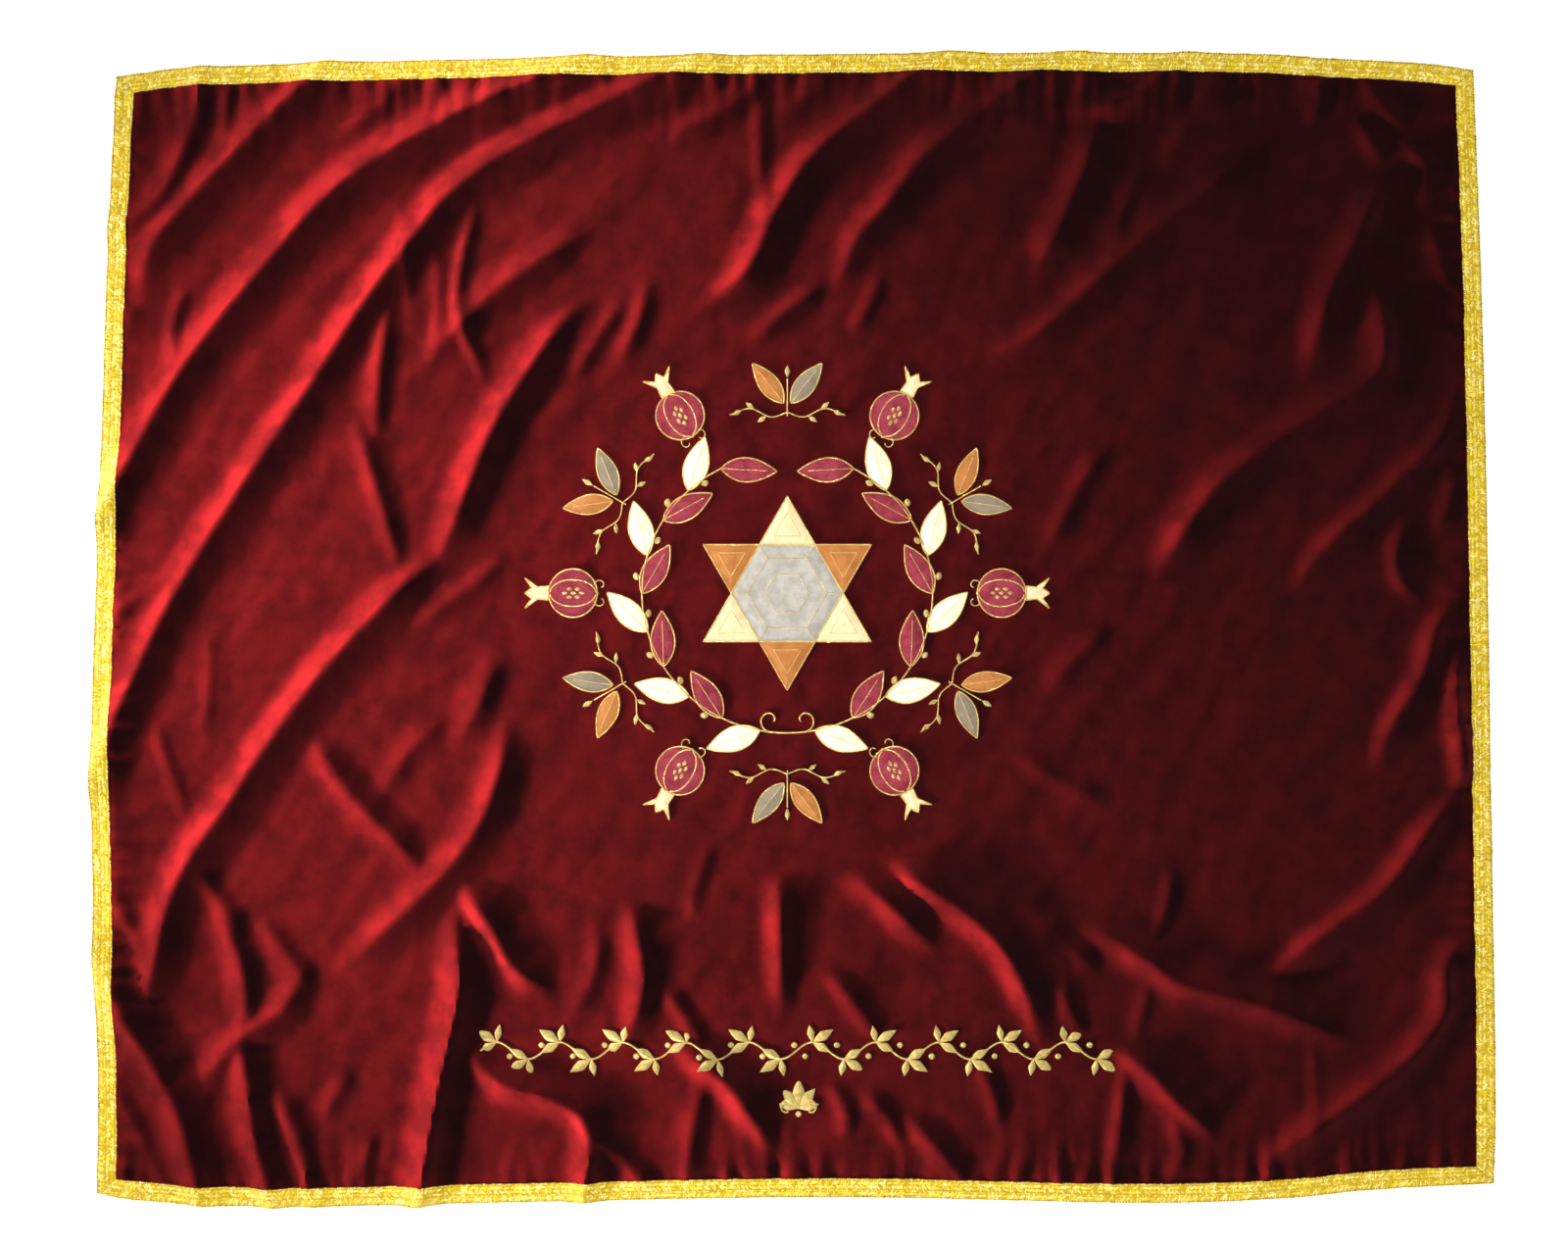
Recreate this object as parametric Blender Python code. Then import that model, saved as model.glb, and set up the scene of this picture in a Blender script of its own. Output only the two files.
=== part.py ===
"""A velvet cover for a reading table, lying flat on a surface and seen from above.

The cover is one rectangle of velvet with soft folds, a woven braid of four mitred lengths
sewn round its edge, and leather patches sewn on its middle: a star inside a wreath of leaves,
with six pomegranates and six pairs of leaves around it.

Metres, +Z up. X runs along the long side and Y along the short side. The origin is the middle
of the cover, on the surface that it lies on.
"""

import math
from collections import namedtuple

import bmesh
import bpy
import numpy as np

MM = 0.001
CM = 0.01

# Thicknesses and gaps.
VELVET_THICK = 2.0 * MM
BRAID_THICK = 1.2 * MM
PATCH_THICK = 1.0 * MM
SEAM_GAP = 0.3 * MM
PATCH_GAP = 0.6 * MM
MITRE_GAP = 0.5 * MM

# The braid, and the cells that the velvet inside it is divided into.
BRAID_WIDE = 20.0 * MM
COLUMNS = 56
ROWS = 46

# The four edges of the cover, in centimetres from a point near its middle. Each runs in the
# direction of +X or +Y, and shares its end points with its neighbours.
TOP_EDGE = [
    (-72.8, 59.4), (-69.7, 59.8), (-64.4, 60.4), (-48.6, 60.9), (-38.0, 61.2), (-17.0, 61.6),
    (14.7, 61.9), (46.3, 61.9), (56.8, 61.4), (67.4, 60.8), (72.8, 60.1),
]
BOTTOM_EDGE = [
    (-74.9, -60.4), (-69.7, -61.2), (-53.9, -61.8), (-27.5, -61.3), (4.1, -60.8), (35.7, -61.4),
    (51.5, -61.0), (62.1, -60.0), (75.0, -59.3),
]
LEFT_EDGE = [
    (-74.9, -60.4), (-74.8, -48.2), (-75.5, -14.4), (-74.6, 15.1), (-73.7, 41.4), (-72.8, 59.4),
]
RIGHT_EDGE = [
    (75.0, -59.3), (75.2, -48.2), (74.7, -16.5), (74.2, 15.1), (73.7, 36.2), (72.8, 60.1),
]

# A fold is a soft ridge. Its crest follows a path in centimetres, from its upper end down.
# left and right are the widths of its two flanks in millimetres, looking from above, and
# runs_off names the ends that leave the cover at full height instead of dying out.
Fold = namedtuple("Fold", "height left right runs_off crest")
FOLDS = [
    # Long arcs across the upper left corner.
    Fold(8, 26, 26, "both", [(-63.4, 62.0), (-64.6, 54.1), (-68.6, 45.8), (-75.0, 42.4)]),
    Fold(14, 31, 47, "upper", [
        (-48.5, 62.5), (-59.1, 52.0), (-64.4, 46.4), (-69.1, 40.6), (-70.3, 34.0),
    ]),
    Fold(16, 31, 45, "both", [
        (-22.2, 61.5), (-38.0, 54.3), (-48.6, 47.7), (-56.5, 39.3), (-66.0, 27.2), (-75.0, 11.5),
    ]),
    Fold(14, 30, 41, "both", [
        (-9.6, 61.5), (-33.0, 49.8), (-42.8, 39.5), (-51.2, 27.2), (-66.3, 4.0), (-76.0, -17.0),
    ]),
    Fold(8, 31, 30, "none", [(-20.7, 43.7), (-27.5, 39.5), (-34.9, 33.8), (-41.0, 26.6)]),
    Fold(15, 30, 39, "none", [
        (-22.2, 36.2), (-27.5, 29.3), (-32.3, 21.6), (-36.5, 11.4), (-39.3, 5.6),
    ]),
    Fold(6, 20, 18, "none", [(-43.3, 36.6), (-44.4, 28.8), (-45.2, 19.4)]),
    Fold(6, 18, 20, "none", [(-47.3, 23.4), (-44.6, 14.5), (-42.0, 5.6)]),
    # The left side, down to the lower left corner.
    Fold(16, 30, 43, "none", [
        (-37.0, 9.0), (-43.3, 3.3), (-52.8, -7.3), (-60.7, -18.7), (-66.7, -28.4), (-69.9, -42.6),
    ]),
    Fold(8, 27, 27, "none", [(-25.6, 4.4), (-31.5, -3.4), (-34.4, -9.2), (-37.2, -12.8)]),
    Fold(7, 27, 26, "none", [(-52.4, -9.4), (-49.1, -15.7), (-43.8, -21.6), (-38.4, -27.2)]),
    Fold(13, 30, 37, "none", [
        (-30.4, -8.4), (-31.9, -16.0), (-35.0, -22.8), (-41.7, -30.3), (-50.6, -37.6),
    ]),
    Fold(9, 26, 26, "none", [(-62.2, -29.4), (-59.3, -36.0), (-58.7, -44.0)]),
    Fold(9, 30, 30, "none", [(-51.8, -35.4), (-55.1, -41.0), (-59.7, -44.2), (-64.6, -49.5)]),
    Fold(15, 41, 42, "both", [
        (-77.0, -31.6), (-71.6, -41.8), (-68.1, -47.6), (-65.7, -52.9), (-63.0, -63.0),
    ]),
    Fold(13, 27, 37, "lower", [(-60.0, -40.4), (-58.7, -48.2), (-57.8, -54.5), (-55.4, -63.4)]),
    Fold(7, 24, 24, "lower", [(-56.4, -47.6), (-53.6, -54.0), (-51.0, -63.0)]),
    # The lower edge, left to right.
    Fold(18, 31, 37, "lower", [
        (-36.8, -28.4), (-35.9, -37.6), (-37.0, -44.0), (-38.6, -51.3), (-40.6, -63.0),
    ]),
    Fold(12, 26, 31, "none", [(-36.6, -25.9), (-32.6, -31.6), (-30.1, -36.0), (-25.0, -39.6)]),
    Fold(14, 24, 33, "lower", [
        (-36.6, -43.0), (-32.3, -48.0), (-25.4, -50.5), (-22.2, -53.6), (-22.8, -63.0),
    ]),
    Fold(11, 26, 27, "none", [(-17.9, -28.2), (-16.4, -35.0), (-16.4, -39.2), (-18.4, -45.2)]),
    Fold(11, 24, 27, "none", [(-13.8, -43.6), (-7.7, -48.2), (-4.8, -51.9), (-2.0, -56.4)]),
    Fold(11, 21, 26, "none", [(-2.0, -18.1), (-1.6, -27.1), (-1.4, -42.5)]),
    Fold(11, 26, 30, "none", [(3.6, -18.4), (6.4, -25.5), (10.6, -29.7), (16.0, -35.1)]),
    Fold(15, 26, 39, "none", [
        (7.0, -20.4), (12.5, -26.2), (19.9, -31.5), (24.1, -37.1), (27.0, -45.5),
    ]),
    Fold(11, 27, 30, "none", [(33.2, -44.0), (37.8, -47.1), (41.0, -50.5), (46.0, -55.0)]),
    Fold(12, 26, 39, "none", [
        (29.5, -30.9), (37.3, -35.0), (41.5, -37.9), (50.5, -40.3), (61.0, -44.6),
    ]),
    # The upper edge, left to right.
    Fold(15, 30, 45, "upper", [(17.5, 62.5), (3.6, 52.4), (-1.7, 45.4), (-5.4, 38.0), (-11.6, 32.6)]),
    Fold(13, 27, 41, "upper", [(30.5, 62.5), (15.2, 52.0), (9.9, 45.6), (6.4, 41.4), (4.2, 35.2)]),
    Fold(9, 20, 39, "upper", [(43.0, 62.8), (36.8, 57.4), (29.0, 55.6)]),
    Fold(11, 30, 37, "none", [(33.4, 56.5), (31.5, 50.9), (29.6, 46.2), (25.4, 37.3)]),
    Fold(11, 26, 37, "none", [(52.0, 53.0), (43.6, 46.7), (36.8, 41.4), (26.2, 31.9), (19.4, 28.6)]),
    # The right side, from the top down.
    Fold(14, 26, 49, "none", [(66.3, 50.2), (62.3, 46.7), (59.8, 41.4), (57.0, 35.6), (54.7, 26.2)]),
    Fold(14, 30, 45, "none", [
        (61.6, 39.0), (63.2, 31.9), (61.9, 26.9), (55.8, 23.0), (45.2, 15.3), (37.6, 3.8),
    ]),
    Fold(12, 21, 41, "none", [(71.2, 27.0), (69.2, 20.6), (63.1, 14.5), (56.3, 8.2), (53.0, 3.0)]),
    Fold(12, 19, 42, "none", [(71.5, 4.4), (68.6, -0.2), (67.1, -5.0), (63.7, -10.8), (62.0, -15.6)]),
    Fold(10, 17, 26, "none", [(71.4, -0.6), (70.7, -6.5), (71.2, -11.8), (71.4, -18.5)]),
    Fold(13, 22, 41, "none", [
        (72.8, -15.4), (67.9, -21.3), (63.1, -27.9), (56.3, -32.9), (49.2, -38.6),
    ]),
    Fold(13, 26, 39, "none", [
        (73.2, -31.4), (69.7, -36.0), (69.2, -41.3), (63.7, -47.6), (48.4, -58.6),
    ]),
]
CREST_ROUND = 4.0 * MM
FLANK_POWER = 2.0
TIP_LONG = 9.0 * CM
TIP_SHARE = 0.3
TIP_WIDTH = 0.5
BLEND_POWER = 3.0
CREST_STEPS = 6
EDGE_STEPS = 12

# The sewn middle is stiff and stays flat: an ellipse, and the share of it over which
# folds die out.
MIDDLE = (-0.8 * CM, 4.0 * CM)
FLAT_HALF = (30.5 * CM, 29.5 * CM)
FLAT_FADE = 0.15

# The star, as the distances of its tips and of its inner corners from the middle.
STAR_TIP = 10.4 * CM
STAR_INNER = STAR_TIP / math.sqrt(3)
STAR_POINTS = 6

# The wreath: two branches that rise from the bottom, with leaves by turns outside and inside.
WREATH_HALF = (15.6 * CM, 15.0 * CM)
WREATH_LEAVES = 10
WREATH_FIRST = math.radians(-79)
WREATH_LAST = math.radians(63)
WREATH_LEAF = (6.0 * CM, 2.6 * CM)
WREATH_TURN = math.radians(30)

# The pomegranates and the pairs of leaves between them.
OUTER_STATIONS = 6
FRUIT_HALF = (23.0 * CM, 22.0 * CM)
FRUIT_RADIUS = 2.6 * CM
FRUIT_SIDES = 18
CROWN_TALL = 2.5 * CM
CROWN_FOOT = 1.5 * CM
CROWN_WIDE = 3.3 * CM
CROWN_WAIST_AT = 0.45
CROWN_WAIST = 0.85
CROWN_DIP_AT = 0.7
CROWN_DIP = 0.34
SPRIG_HALF = (21.4 * CM, 20.4 * CM)
SPRIG_LEAF = (5.4 * CM, 2.1 * CM)
SPRIG_TURN = math.radians(38)
SPRIG_FOOT = 4.0 * MM
LEAF_STEPS = 6
LEAF_FULLEST = 0.85
LEAF_POINT = 0.9

COLOURS = {
    # name: colour, roughness, metallic
    "velvet red": ((0.26, 0.008, 0.014), 0.95, 0.0),
    "braid gold": ((0.72, 0.50, 0.07), 0.42, 0.6),
    "leather cream": ((0.90, 0.84, 0.66), 0.55, 0.0),
    "leather burgundy": ((0.38, 0.05, 0.07), 0.38, 0.2),
    "leather beige": ((0.76, 0.62, 0.38), 0.6, 0.0),
    "leather tan": ((0.45, 0.19, 0.05), 0.6, 0.0),
    "leather taupe": ((0.24, 0.19, 0.14), 0.6, 0.0),
    "leather silver": ((0.56, 0.53, 0.48), 0.4, 0.3),
}


def material(name):
    """The material of this name, made on its first use."""
    if name in bpy.data.materials:
        return bpy.data.materials[name]
    colour, roughness, metallic = COLOURS[name]
    made = bpy.data.materials.new(name)
    made.use_nodes = True
    shader = made.node_tree.nodes["Principled BSDF"]
    shader.inputs["Base Color"].default_value = (*colour, 1.0)
    shader.inputs["Roughness"].default_value = roughness
    shader.inputs["Metallic"].default_value = metallic
    return made


def curve_through(points, steps):
    """A smooth line through the points, with this many steps from each to the next."""
    points = np.array(points, dtype=float)
    ends = np.vstack([2 * points[0] - points[1], points, 2 * points[-1] - points[-2]])
    line = []
    for before, here, after, beyond in zip(ends[:-3], ends[1:-2], ends[2:-1], ends[3:]):
        for step in range(steps):
            t = step / steps
            linear = (after - before) * t
            square = (2 * before - 5 * here + 4 * after - beyond) * t ** 2
            cube = (3 * here - before - 3 * after + beyond) * t ** 3
            line.append(0.5 * (2 * here + linear + square + cube))
    line.append(points[-1])
    return np.array(line)


def ramp(t):
    """0 below 0 and 1 above 1, with a smooth rise between."""
    t = np.clip(t, 0.0, 1.0)
    return t * t * (3 - 2 * t)


def edge_at(edge, along, shares):
    """Points of an edge at these shares of its length along X (0) or Y (1)."""
    line = curve_through(edge, EDGE_STEPS) * CM
    wanted = line[0, along] + shares * (line[-1, along] - line[0, along])
    other = np.interp(wanted, line[:, along], line[:, 1 - along])
    return np.column_stack([wanted, other] if along == 0 else [other, wanted])


def edge_shares(cells, length):
    """Shares along an edge: one cell as wide as the braid at each end, and even cells between."""
    braid = BRAID_WIDE / length
    return np.concatenate([[0.0], np.linspace(braid, 1 - braid, cells + 1), [1.0]])


def cover_grid():
    """X and Y of each corner of the velvet's cells, as an array of rows from the bottom edge up."""
    width = (TOP_EDGE[-1][0] - TOP_EDGE[0][0]) * CM
    height = (LEFT_EDGE[-1][1] - LEFT_EDGE[0][1]) * CM
    across = edge_shares(COLUMNS, width)
    up = edge_shares(ROWS, height)
    bottom = edge_at(BOTTOM_EDGE, 0, across)[None, :, :]
    top = edge_at(TOP_EDGE, 0, across)[None, :, :]
    left = edge_at(LEFT_EDGE, 1, up)[:, None, :]
    right = edge_at(RIGHT_EDGE, 1, up)[:, None, :]
    u = across[None, :, None]
    v = up[:, None, None]
    corners = (1 - v) * ((1 - u) * bottom[:, :1] + u * bottom[:, -1:])
    corners = corners + v * ((1 - u) * top[:, :1] + u * top[:, -1:])
    return (1 - v) * bottom + v * top + (1 - u) * left + u * right - corners


def fold_height(points, fold):
    """The height that one fold gives to each point."""
    crest = curve_through(fold.crest, CREST_STEPS) * CM
    nearest = np.full(len(points), np.inf)
    on_left = np.zeros(len(points), dtype=bool)
    along = np.zeros(len(points))
    passed = 0.0
    for start, end in zip(crest[:-1], crest[1:]):
        step = end - start
        length = math.hypot(*step)
        offset = points - start
        share = np.clip(offset @ step / length ** 2, 0.0, 1.0)
        away = offset - share[:, None] * step
        distance = np.hypot(away[:, 0], away[:, 1])
        closer = distance < nearest
        nearest[closer] = distance[closer]
        on_left[closer] = (step[0] * away[:, 1] - step[1] * away[:, 0] < 0)[closer]
        along[closer] = (passed + share * length)[closer]
        passed += length
    tip = min(TIP_SHARE * passed, TIP_LONG)
    upper = 1.0 if fold.runs_off in ("upper", "both") else ramp(along / tip)
    lower = 1.0 if fold.runs_off in ("lower", "both") else ramp((passed - along) / tip)
    ends = upper * lower
    flank = np.where(on_left, fold.left, fold.right) * MM
    flank = flank * (TIP_WIDTH + (1 - TIP_WIDTH) * ends)
    rounded = np.sqrt(nearest ** 2 + CREST_ROUND ** 2) - CREST_ROUND
    return fold.height * MM * ends * np.clip(1 - rounded / flank, 0.0, 1.0) ** FLANK_POWER


def folded_height(points):
    """The height of the velvet's underside. Where folds meet, the higher one leads."""
    total = np.zeros(len(points))
    for fold in FOLDS:
        total += fold_height(points, fold) ** BLEND_POWER
    reach = np.hypot(*((points - MIDDLE) / FLAT_HALF).T)
    return total ** (1 / BLEND_POWER) * ramp((reach - 1) / FLAT_FADE)


def sheet_solid(name, lower, faces, thickness, colour, parent):
    """A closed sheet: these lower points, the same ones lifted, and a wall round them."""
    mesh = bpy.data.meshes.new(name)
    work = bmesh.new()
    under = [work.verts.new(point) for point in lower]
    over = [work.verts.new((x, y, z + thickness)) for x, y, z in lower]
    sides = {}
    for face in faces:
        work.faces.new([over[i] for i in face])
        work.faces.new([under[i] for i in reversed(face)])
        for a, b in zip(face, face[1:] + face[:1]):
            sides[(a, b)] = sides.get((a, b), 0) + 1
    for a, b in sides:
        if (b, a) not in sides:
            work.faces.new([under[a], under[b], over[b], over[a]])
    work.to_mesh(mesh)
    work.free()
    mesh.materials.append(material(colour))
    made = bpy.data.objects.new(name, mesh)
    made.parent = parent
    bpy.context.scene.collection.objects.link(made)


def cell_faces(row, column, width, leaning):
    """The two triangles of a cell, with the way that their shared edge leans."""
    a = row * width + column
    b = a + 1
    c = b + width
    d = a + width
    if leaning == "right":
        return [[a, b, c], [a, c, d]]
    return [[a, b, d], [b, c, d]]


def leaning_of(row, column, rows, columns):
    """Which way a cell's shared edge leans: along the folds, but along the mitre at each corner."""
    upper_left = row == rows - 1 and column == 0
    lower_right = row == 0 and column == columns - 1
    return "left" if upper_left or lower_right else "right"


def add_velvet(nodes, parent):
    """The velvet, from edge to edge under the braid."""
    rows, columns = nodes.shape[0] - 1, nodes.shape[1] - 1
    faces = []
    for row in range(rows):
        for column in range(columns):
            faces += cell_faces(row, column, columns + 1, leaning_of(row, column, rows, columns))
    sheet_solid("velvet", nodes.reshape(-1, 3).tolist(), faces, VELVET_THICK, "velvet red", parent)


def trimmed(line):
    """The line with both its ends drawn in by the mitre's gap."""
    line = line.copy()
    for end, inner in ((0, 1), (-1, -2)):
        step = line[inner] - line[end]
        line[end] = line[end] + step * MITRE_GAP / np.linalg.norm(step)
    return line


def add_braid(name, outer, inner, facing_down, parent):
    """One length of braid between the cover's outer line and the line one cell further in.

    Its faces meet along the same slanting edges as the velvet's. Those of a length that runs
    round the cover the wrong way are listed facing down, and are turned over.
    """
    points = np.vstack([outer, inner])
    points[:, 2] += VELVET_THICK + SEAM_GAP
    count = len(outer)
    faces = [[0, count, 1]]
    for cell in range(len(inner) - 1):
        a, b = cell + 1, cell + 2
        c, d = count + cell + 1, count + cell
        faces += [[a, d, c], [a, c, b]]
    faces.append([count - 2, 2 * count - 3, count - 1])
    if facing_down:
        faces = [list(reversed(face)) for face in faces]
    sheet_solid(name, points.tolist(), faces, BRAID_THICK, "braid gold", parent)


def add_braids(nodes, parent):
    """The four lengths of braid. The long ones are trimmed at their mitres."""
    top = (trimmed(nodes[-1, ::-1]), trimmed(nodes[-2, -2:0:-1]))
    bottom = (trimmed(nodes[0]), trimmed(nodes[1, 1:-1]))
    left = (nodes[:, 0], nodes[1:-1, 1])
    right = (nodes[::-1, -1], nodes[-2:0:-1, -2])
    add_braid("braid_top", *top, True, parent)
    add_braid("braid_bottom", *bottom, True, parent)
    add_braid("braid_left", *left, False, parent)
    add_braid("braid_right", *right, False, parent)


def on_ellipse(half, angle):
    """The point at this angle on an ellipse about the middle of the design."""
    return (MIDDLE[0] + half[0] * math.cos(angle), MIDDLE[1] + half[1] * math.sin(angle))


def placed(shape, place, angle):
    """A shape drawn along +X from the origin, turned by the angle and moved to its place."""
    cos, sin = math.cos(angle), math.sin(angle)
    return [(place[0] + x * cos - y * sin, place[1] + x * sin + y * cos) for x, y in shape]


def leaf_shape(size):
    """A pointed leaf from the origin along +X, fullest nearer its foot."""
    length, width = size
    upper = []
    for step in range(1, LEAF_STEPS):
        t = step / LEAF_STEPS
        swell = math.sin(math.pi * t ** LEAF_FULLEST) ** LEAF_POINT
        upper.append((length * t, width / 2 * swell))
    lower = [(x, -y) for x, y in upper]
    return [(0.0, 0.0)] + lower + [(length, 0.0)] + upper[::-1]


def crown_shape():
    """The three-pointed crown of a pomegranate, from its foot along +X."""
    foot, wide, tall = CROWN_FOOT / 2, CROWN_WIDE / 2, CROWN_TALL
    waist = (tall * CROWN_WAIST_AT, -foot * CROWN_WAIST)
    dip = (tall * CROWN_DIP_AT, -wide * CROWN_DIP)
    right = [(0.0, -foot), waist, (tall, -wide), dip]
    left = [(x, -y) for x, y in reversed(right)]
    return right + [(tall, 0.0)] + left


def circle_shape(radius, sides):
    """A round patch about the origin."""
    angles = [2 * math.pi * side / sides for side in range(sides)]
    return [(radius * math.cos(angle), radius * math.sin(angle)) for angle in angles]


def add_patch(name, outline, colour, parent):
    """One flat patch, just above the velvet."""
    lift = VELVET_THICK + SEAM_GAP
    lower = [(x, y, lift) for x, y in outline]
    sheet_solid(name, lower, [list(range(len(lower)))], PATCH_THICK, colour, parent)


def add_star(parent):
    """The six-sided centre of the star and the six points around it."""
    turns = [math.pi / 2 + 2 * math.pi * k / STAR_POINTS for k in range(STAR_POINTS)]
    half_turn = math.pi / STAR_POINTS
    reach = STAR_INNER - PATCH_GAP
    centre = [on_ellipse((reach, reach), turn + half_turn) for turn in turns]
    add_patch("star_centre", centre, "leather silver", parent)
    for number, turn in enumerate(turns, 1):
        base = STAR_INNER * math.cos(half_turn) + PATCH_GAP / 2
        half_base = STAR_INNER * math.sin(half_turn) - PATCH_GAP
        shape = [(base, -half_base), (STAR_TIP - PATCH_GAP, 0.0), (base, half_base)]
        colour = "leather beige" if number % 2 else "leather tan"
        add_patch(f"star_point_{number}", placed(shape, MIDDLE, turn), colour, parent)


def add_wreath(parent):
    """The leaves of the two branches, cream ones outside and burgundy ones inside."""
    for side, mirror in (("right", 1), ("left", -1)):
        for number in range(WREATH_LEAVES):
            share = number / (WREATH_LEAVES - 1)
            angle = WREATH_FIRST + share * (WREATH_LAST - WREATH_FIRST)
            outside = number % 2 == 0
            place = on_ellipse(WREATH_HALF, angle)
            heading = angle + math.pi / 2 + (-WREATH_TURN if outside else WREATH_TURN)
            outline = placed(leaf_shape(WREATH_LEAF), place, heading)
            if mirror < 0:
                outline = [(2 * MIDDLE[0] - x, y) for x, y in reversed(outline)]
            colour = "leather cream" if outside else "leather burgundy"
            add_patch(f"wreath_leaf_{side}_{number + 1:02d}", outline, colour, parent)


def add_outer_ring(parent):
    """The pomegranates with their crowns, and a pair of leaves between each two."""
    fruit = circle_shape(FRUIT_RADIUS, FRUIT_SIDES)
    crown_at = FRUIT_RADIUS + PATCH_GAP
    crown = [(x + crown_at, y) for x, y in crown_shape()]
    station = 2 * math.pi / OUTER_STATIONS
    for number in range(OUTER_STATIONS):
        angle = number * station
        place = on_ellipse(FRUIT_HALF, angle)
        add_patch(f"fruit_{number + 1}", placed(fruit, place, angle), "leather burgundy", parent)
        add_patch(f"crown_{number + 1}", placed(crown, place, angle), "leather beige", parent)
        angle += station / 2
        place = on_ellipse(SPRIG_HALF, angle)
        for letter, turn, colour in (
            ("a", SPRIG_TURN, "leather tan"),
            ("b", -SPRIG_TURN, "leather taupe"),
        ):
            foot = placed([(0.0, math.copysign(SPRIG_FOOT, turn))], place, angle)[0]
            leaf = placed(leaf_shape(SPRIG_LEAF), foot, angle + turn)
            add_patch(f"sprig_leaf_{number + 1}{letter}", leaf, colour, parent)


def main():
    for left_over in list(bpy.data.objects):
        bpy.data.objects.remove(left_over)
    cover = bpy.data.objects.new("cover", None)
    bpy.context.scene.collection.objects.link(cover)
    flat = cover_grid()
    height = folded_height(flat.reshape(-1, 2)).reshape(flat.shape[:2])
    nodes = np.dstack([flat, height])
    add_velvet(nodes, cover)
    add_braids(nodes, cover)
    add_star(cover)
    add_wreath(cover)
    add_outer_ring(cover)
    centre = (flat.min(axis=(0, 1)) + flat.max(axis=(0, 1))) / 2
    cover.location = (-centre[0], -centre[1], 0.0)


main()
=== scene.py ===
"""The looks of a velvet cover for a reading table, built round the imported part.

The cover lies on a pale floor in soft folds: velvet with a woven gold braid round it, leather
patches sewn on its middle, and gold embroidery. The file is laid out as an add-on and is run
as a script. Metres, +Z up.
"""

import math
from collections import namedtuple

import bmesh
import bpy
import numpy as np
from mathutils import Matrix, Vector, noise


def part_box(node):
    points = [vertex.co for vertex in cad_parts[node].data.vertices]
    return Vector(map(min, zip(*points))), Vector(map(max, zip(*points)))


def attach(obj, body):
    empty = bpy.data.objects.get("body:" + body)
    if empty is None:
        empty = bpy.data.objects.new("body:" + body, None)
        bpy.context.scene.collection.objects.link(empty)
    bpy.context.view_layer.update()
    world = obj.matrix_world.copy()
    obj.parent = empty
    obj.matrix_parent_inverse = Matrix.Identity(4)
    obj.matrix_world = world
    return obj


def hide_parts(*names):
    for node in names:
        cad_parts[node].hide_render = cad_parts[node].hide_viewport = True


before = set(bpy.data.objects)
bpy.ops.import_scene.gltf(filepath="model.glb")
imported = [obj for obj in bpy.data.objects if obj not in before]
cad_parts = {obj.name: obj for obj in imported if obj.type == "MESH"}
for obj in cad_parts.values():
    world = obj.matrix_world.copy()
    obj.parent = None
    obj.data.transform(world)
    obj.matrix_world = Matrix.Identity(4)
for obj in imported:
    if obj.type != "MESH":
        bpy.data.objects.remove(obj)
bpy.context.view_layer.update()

bl_info = {
    "name": "Velvet Table Cover",
    "version": (1, 0, 0),
    "blender": (4, 5, 0),
    "location": "3D View > Sidebar > Table Cover",
    "description": "Builds the velvet, braid, leather patches and embroidery of a table cover",
    "category": "Object",
}

MM = 0.001
CM = 0.01

# The part's own sizes.
VELVET_THICK = 2.0 * MM
BRAID_WIDE = 20.0 * MM
PATCH_GAP = 0.6 * MM

# The shapes below are drawn in centimetres about a point near the cover's middle. The star's
# middle fixes where that point is on the part.
DRAWN_MIDDLE = np.array([-0.8, 4.0]) * CM
star_low, star_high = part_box("star_centre")
MIDDLE = np.array([(star_low[0] + star_high[0]) / 2, (star_low[1] + star_high[1]) / 2])
SHIFT = MIDDLE - DRAWN_MIDDLE

EDGES = {
    "top": [
        (-72.8, 59.4), (-69.7, 59.8), (-64.4, 60.4), (-48.6, 60.9), (-38.0, 61.2), (-17.0, 61.6),
        (14.7, 61.9), (46.3, 61.9), (56.8, 61.4), (67.4, 60.8), (72.8, 60.1),
    ],
    "bottom": [
        (-74.9, -60.4), (-69.7, -61.2), (-53.9, -61.8), (-27.5, -61.3), (4.1, -60.8),
        (35.7, -61.4), (51.5, -61.0), (62.1, -60.0), (75.0, -59.3),
    ],
    "left": [
        (-74.9, -60.4), (-74.8, -48.2), (-75.5, -14.4), (-74.6, 15.1), (-73.7, 41.4),
        (-72.8, 59.4),
    ],
    "right": [
        (75.0, -59.3), (75.2, -48.2), (74.7, -16.5), (74.2, 15.1), (73.7, 36.2), (72.8, 60.1),
    ],
}
EDGE_STEPS = 12

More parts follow.
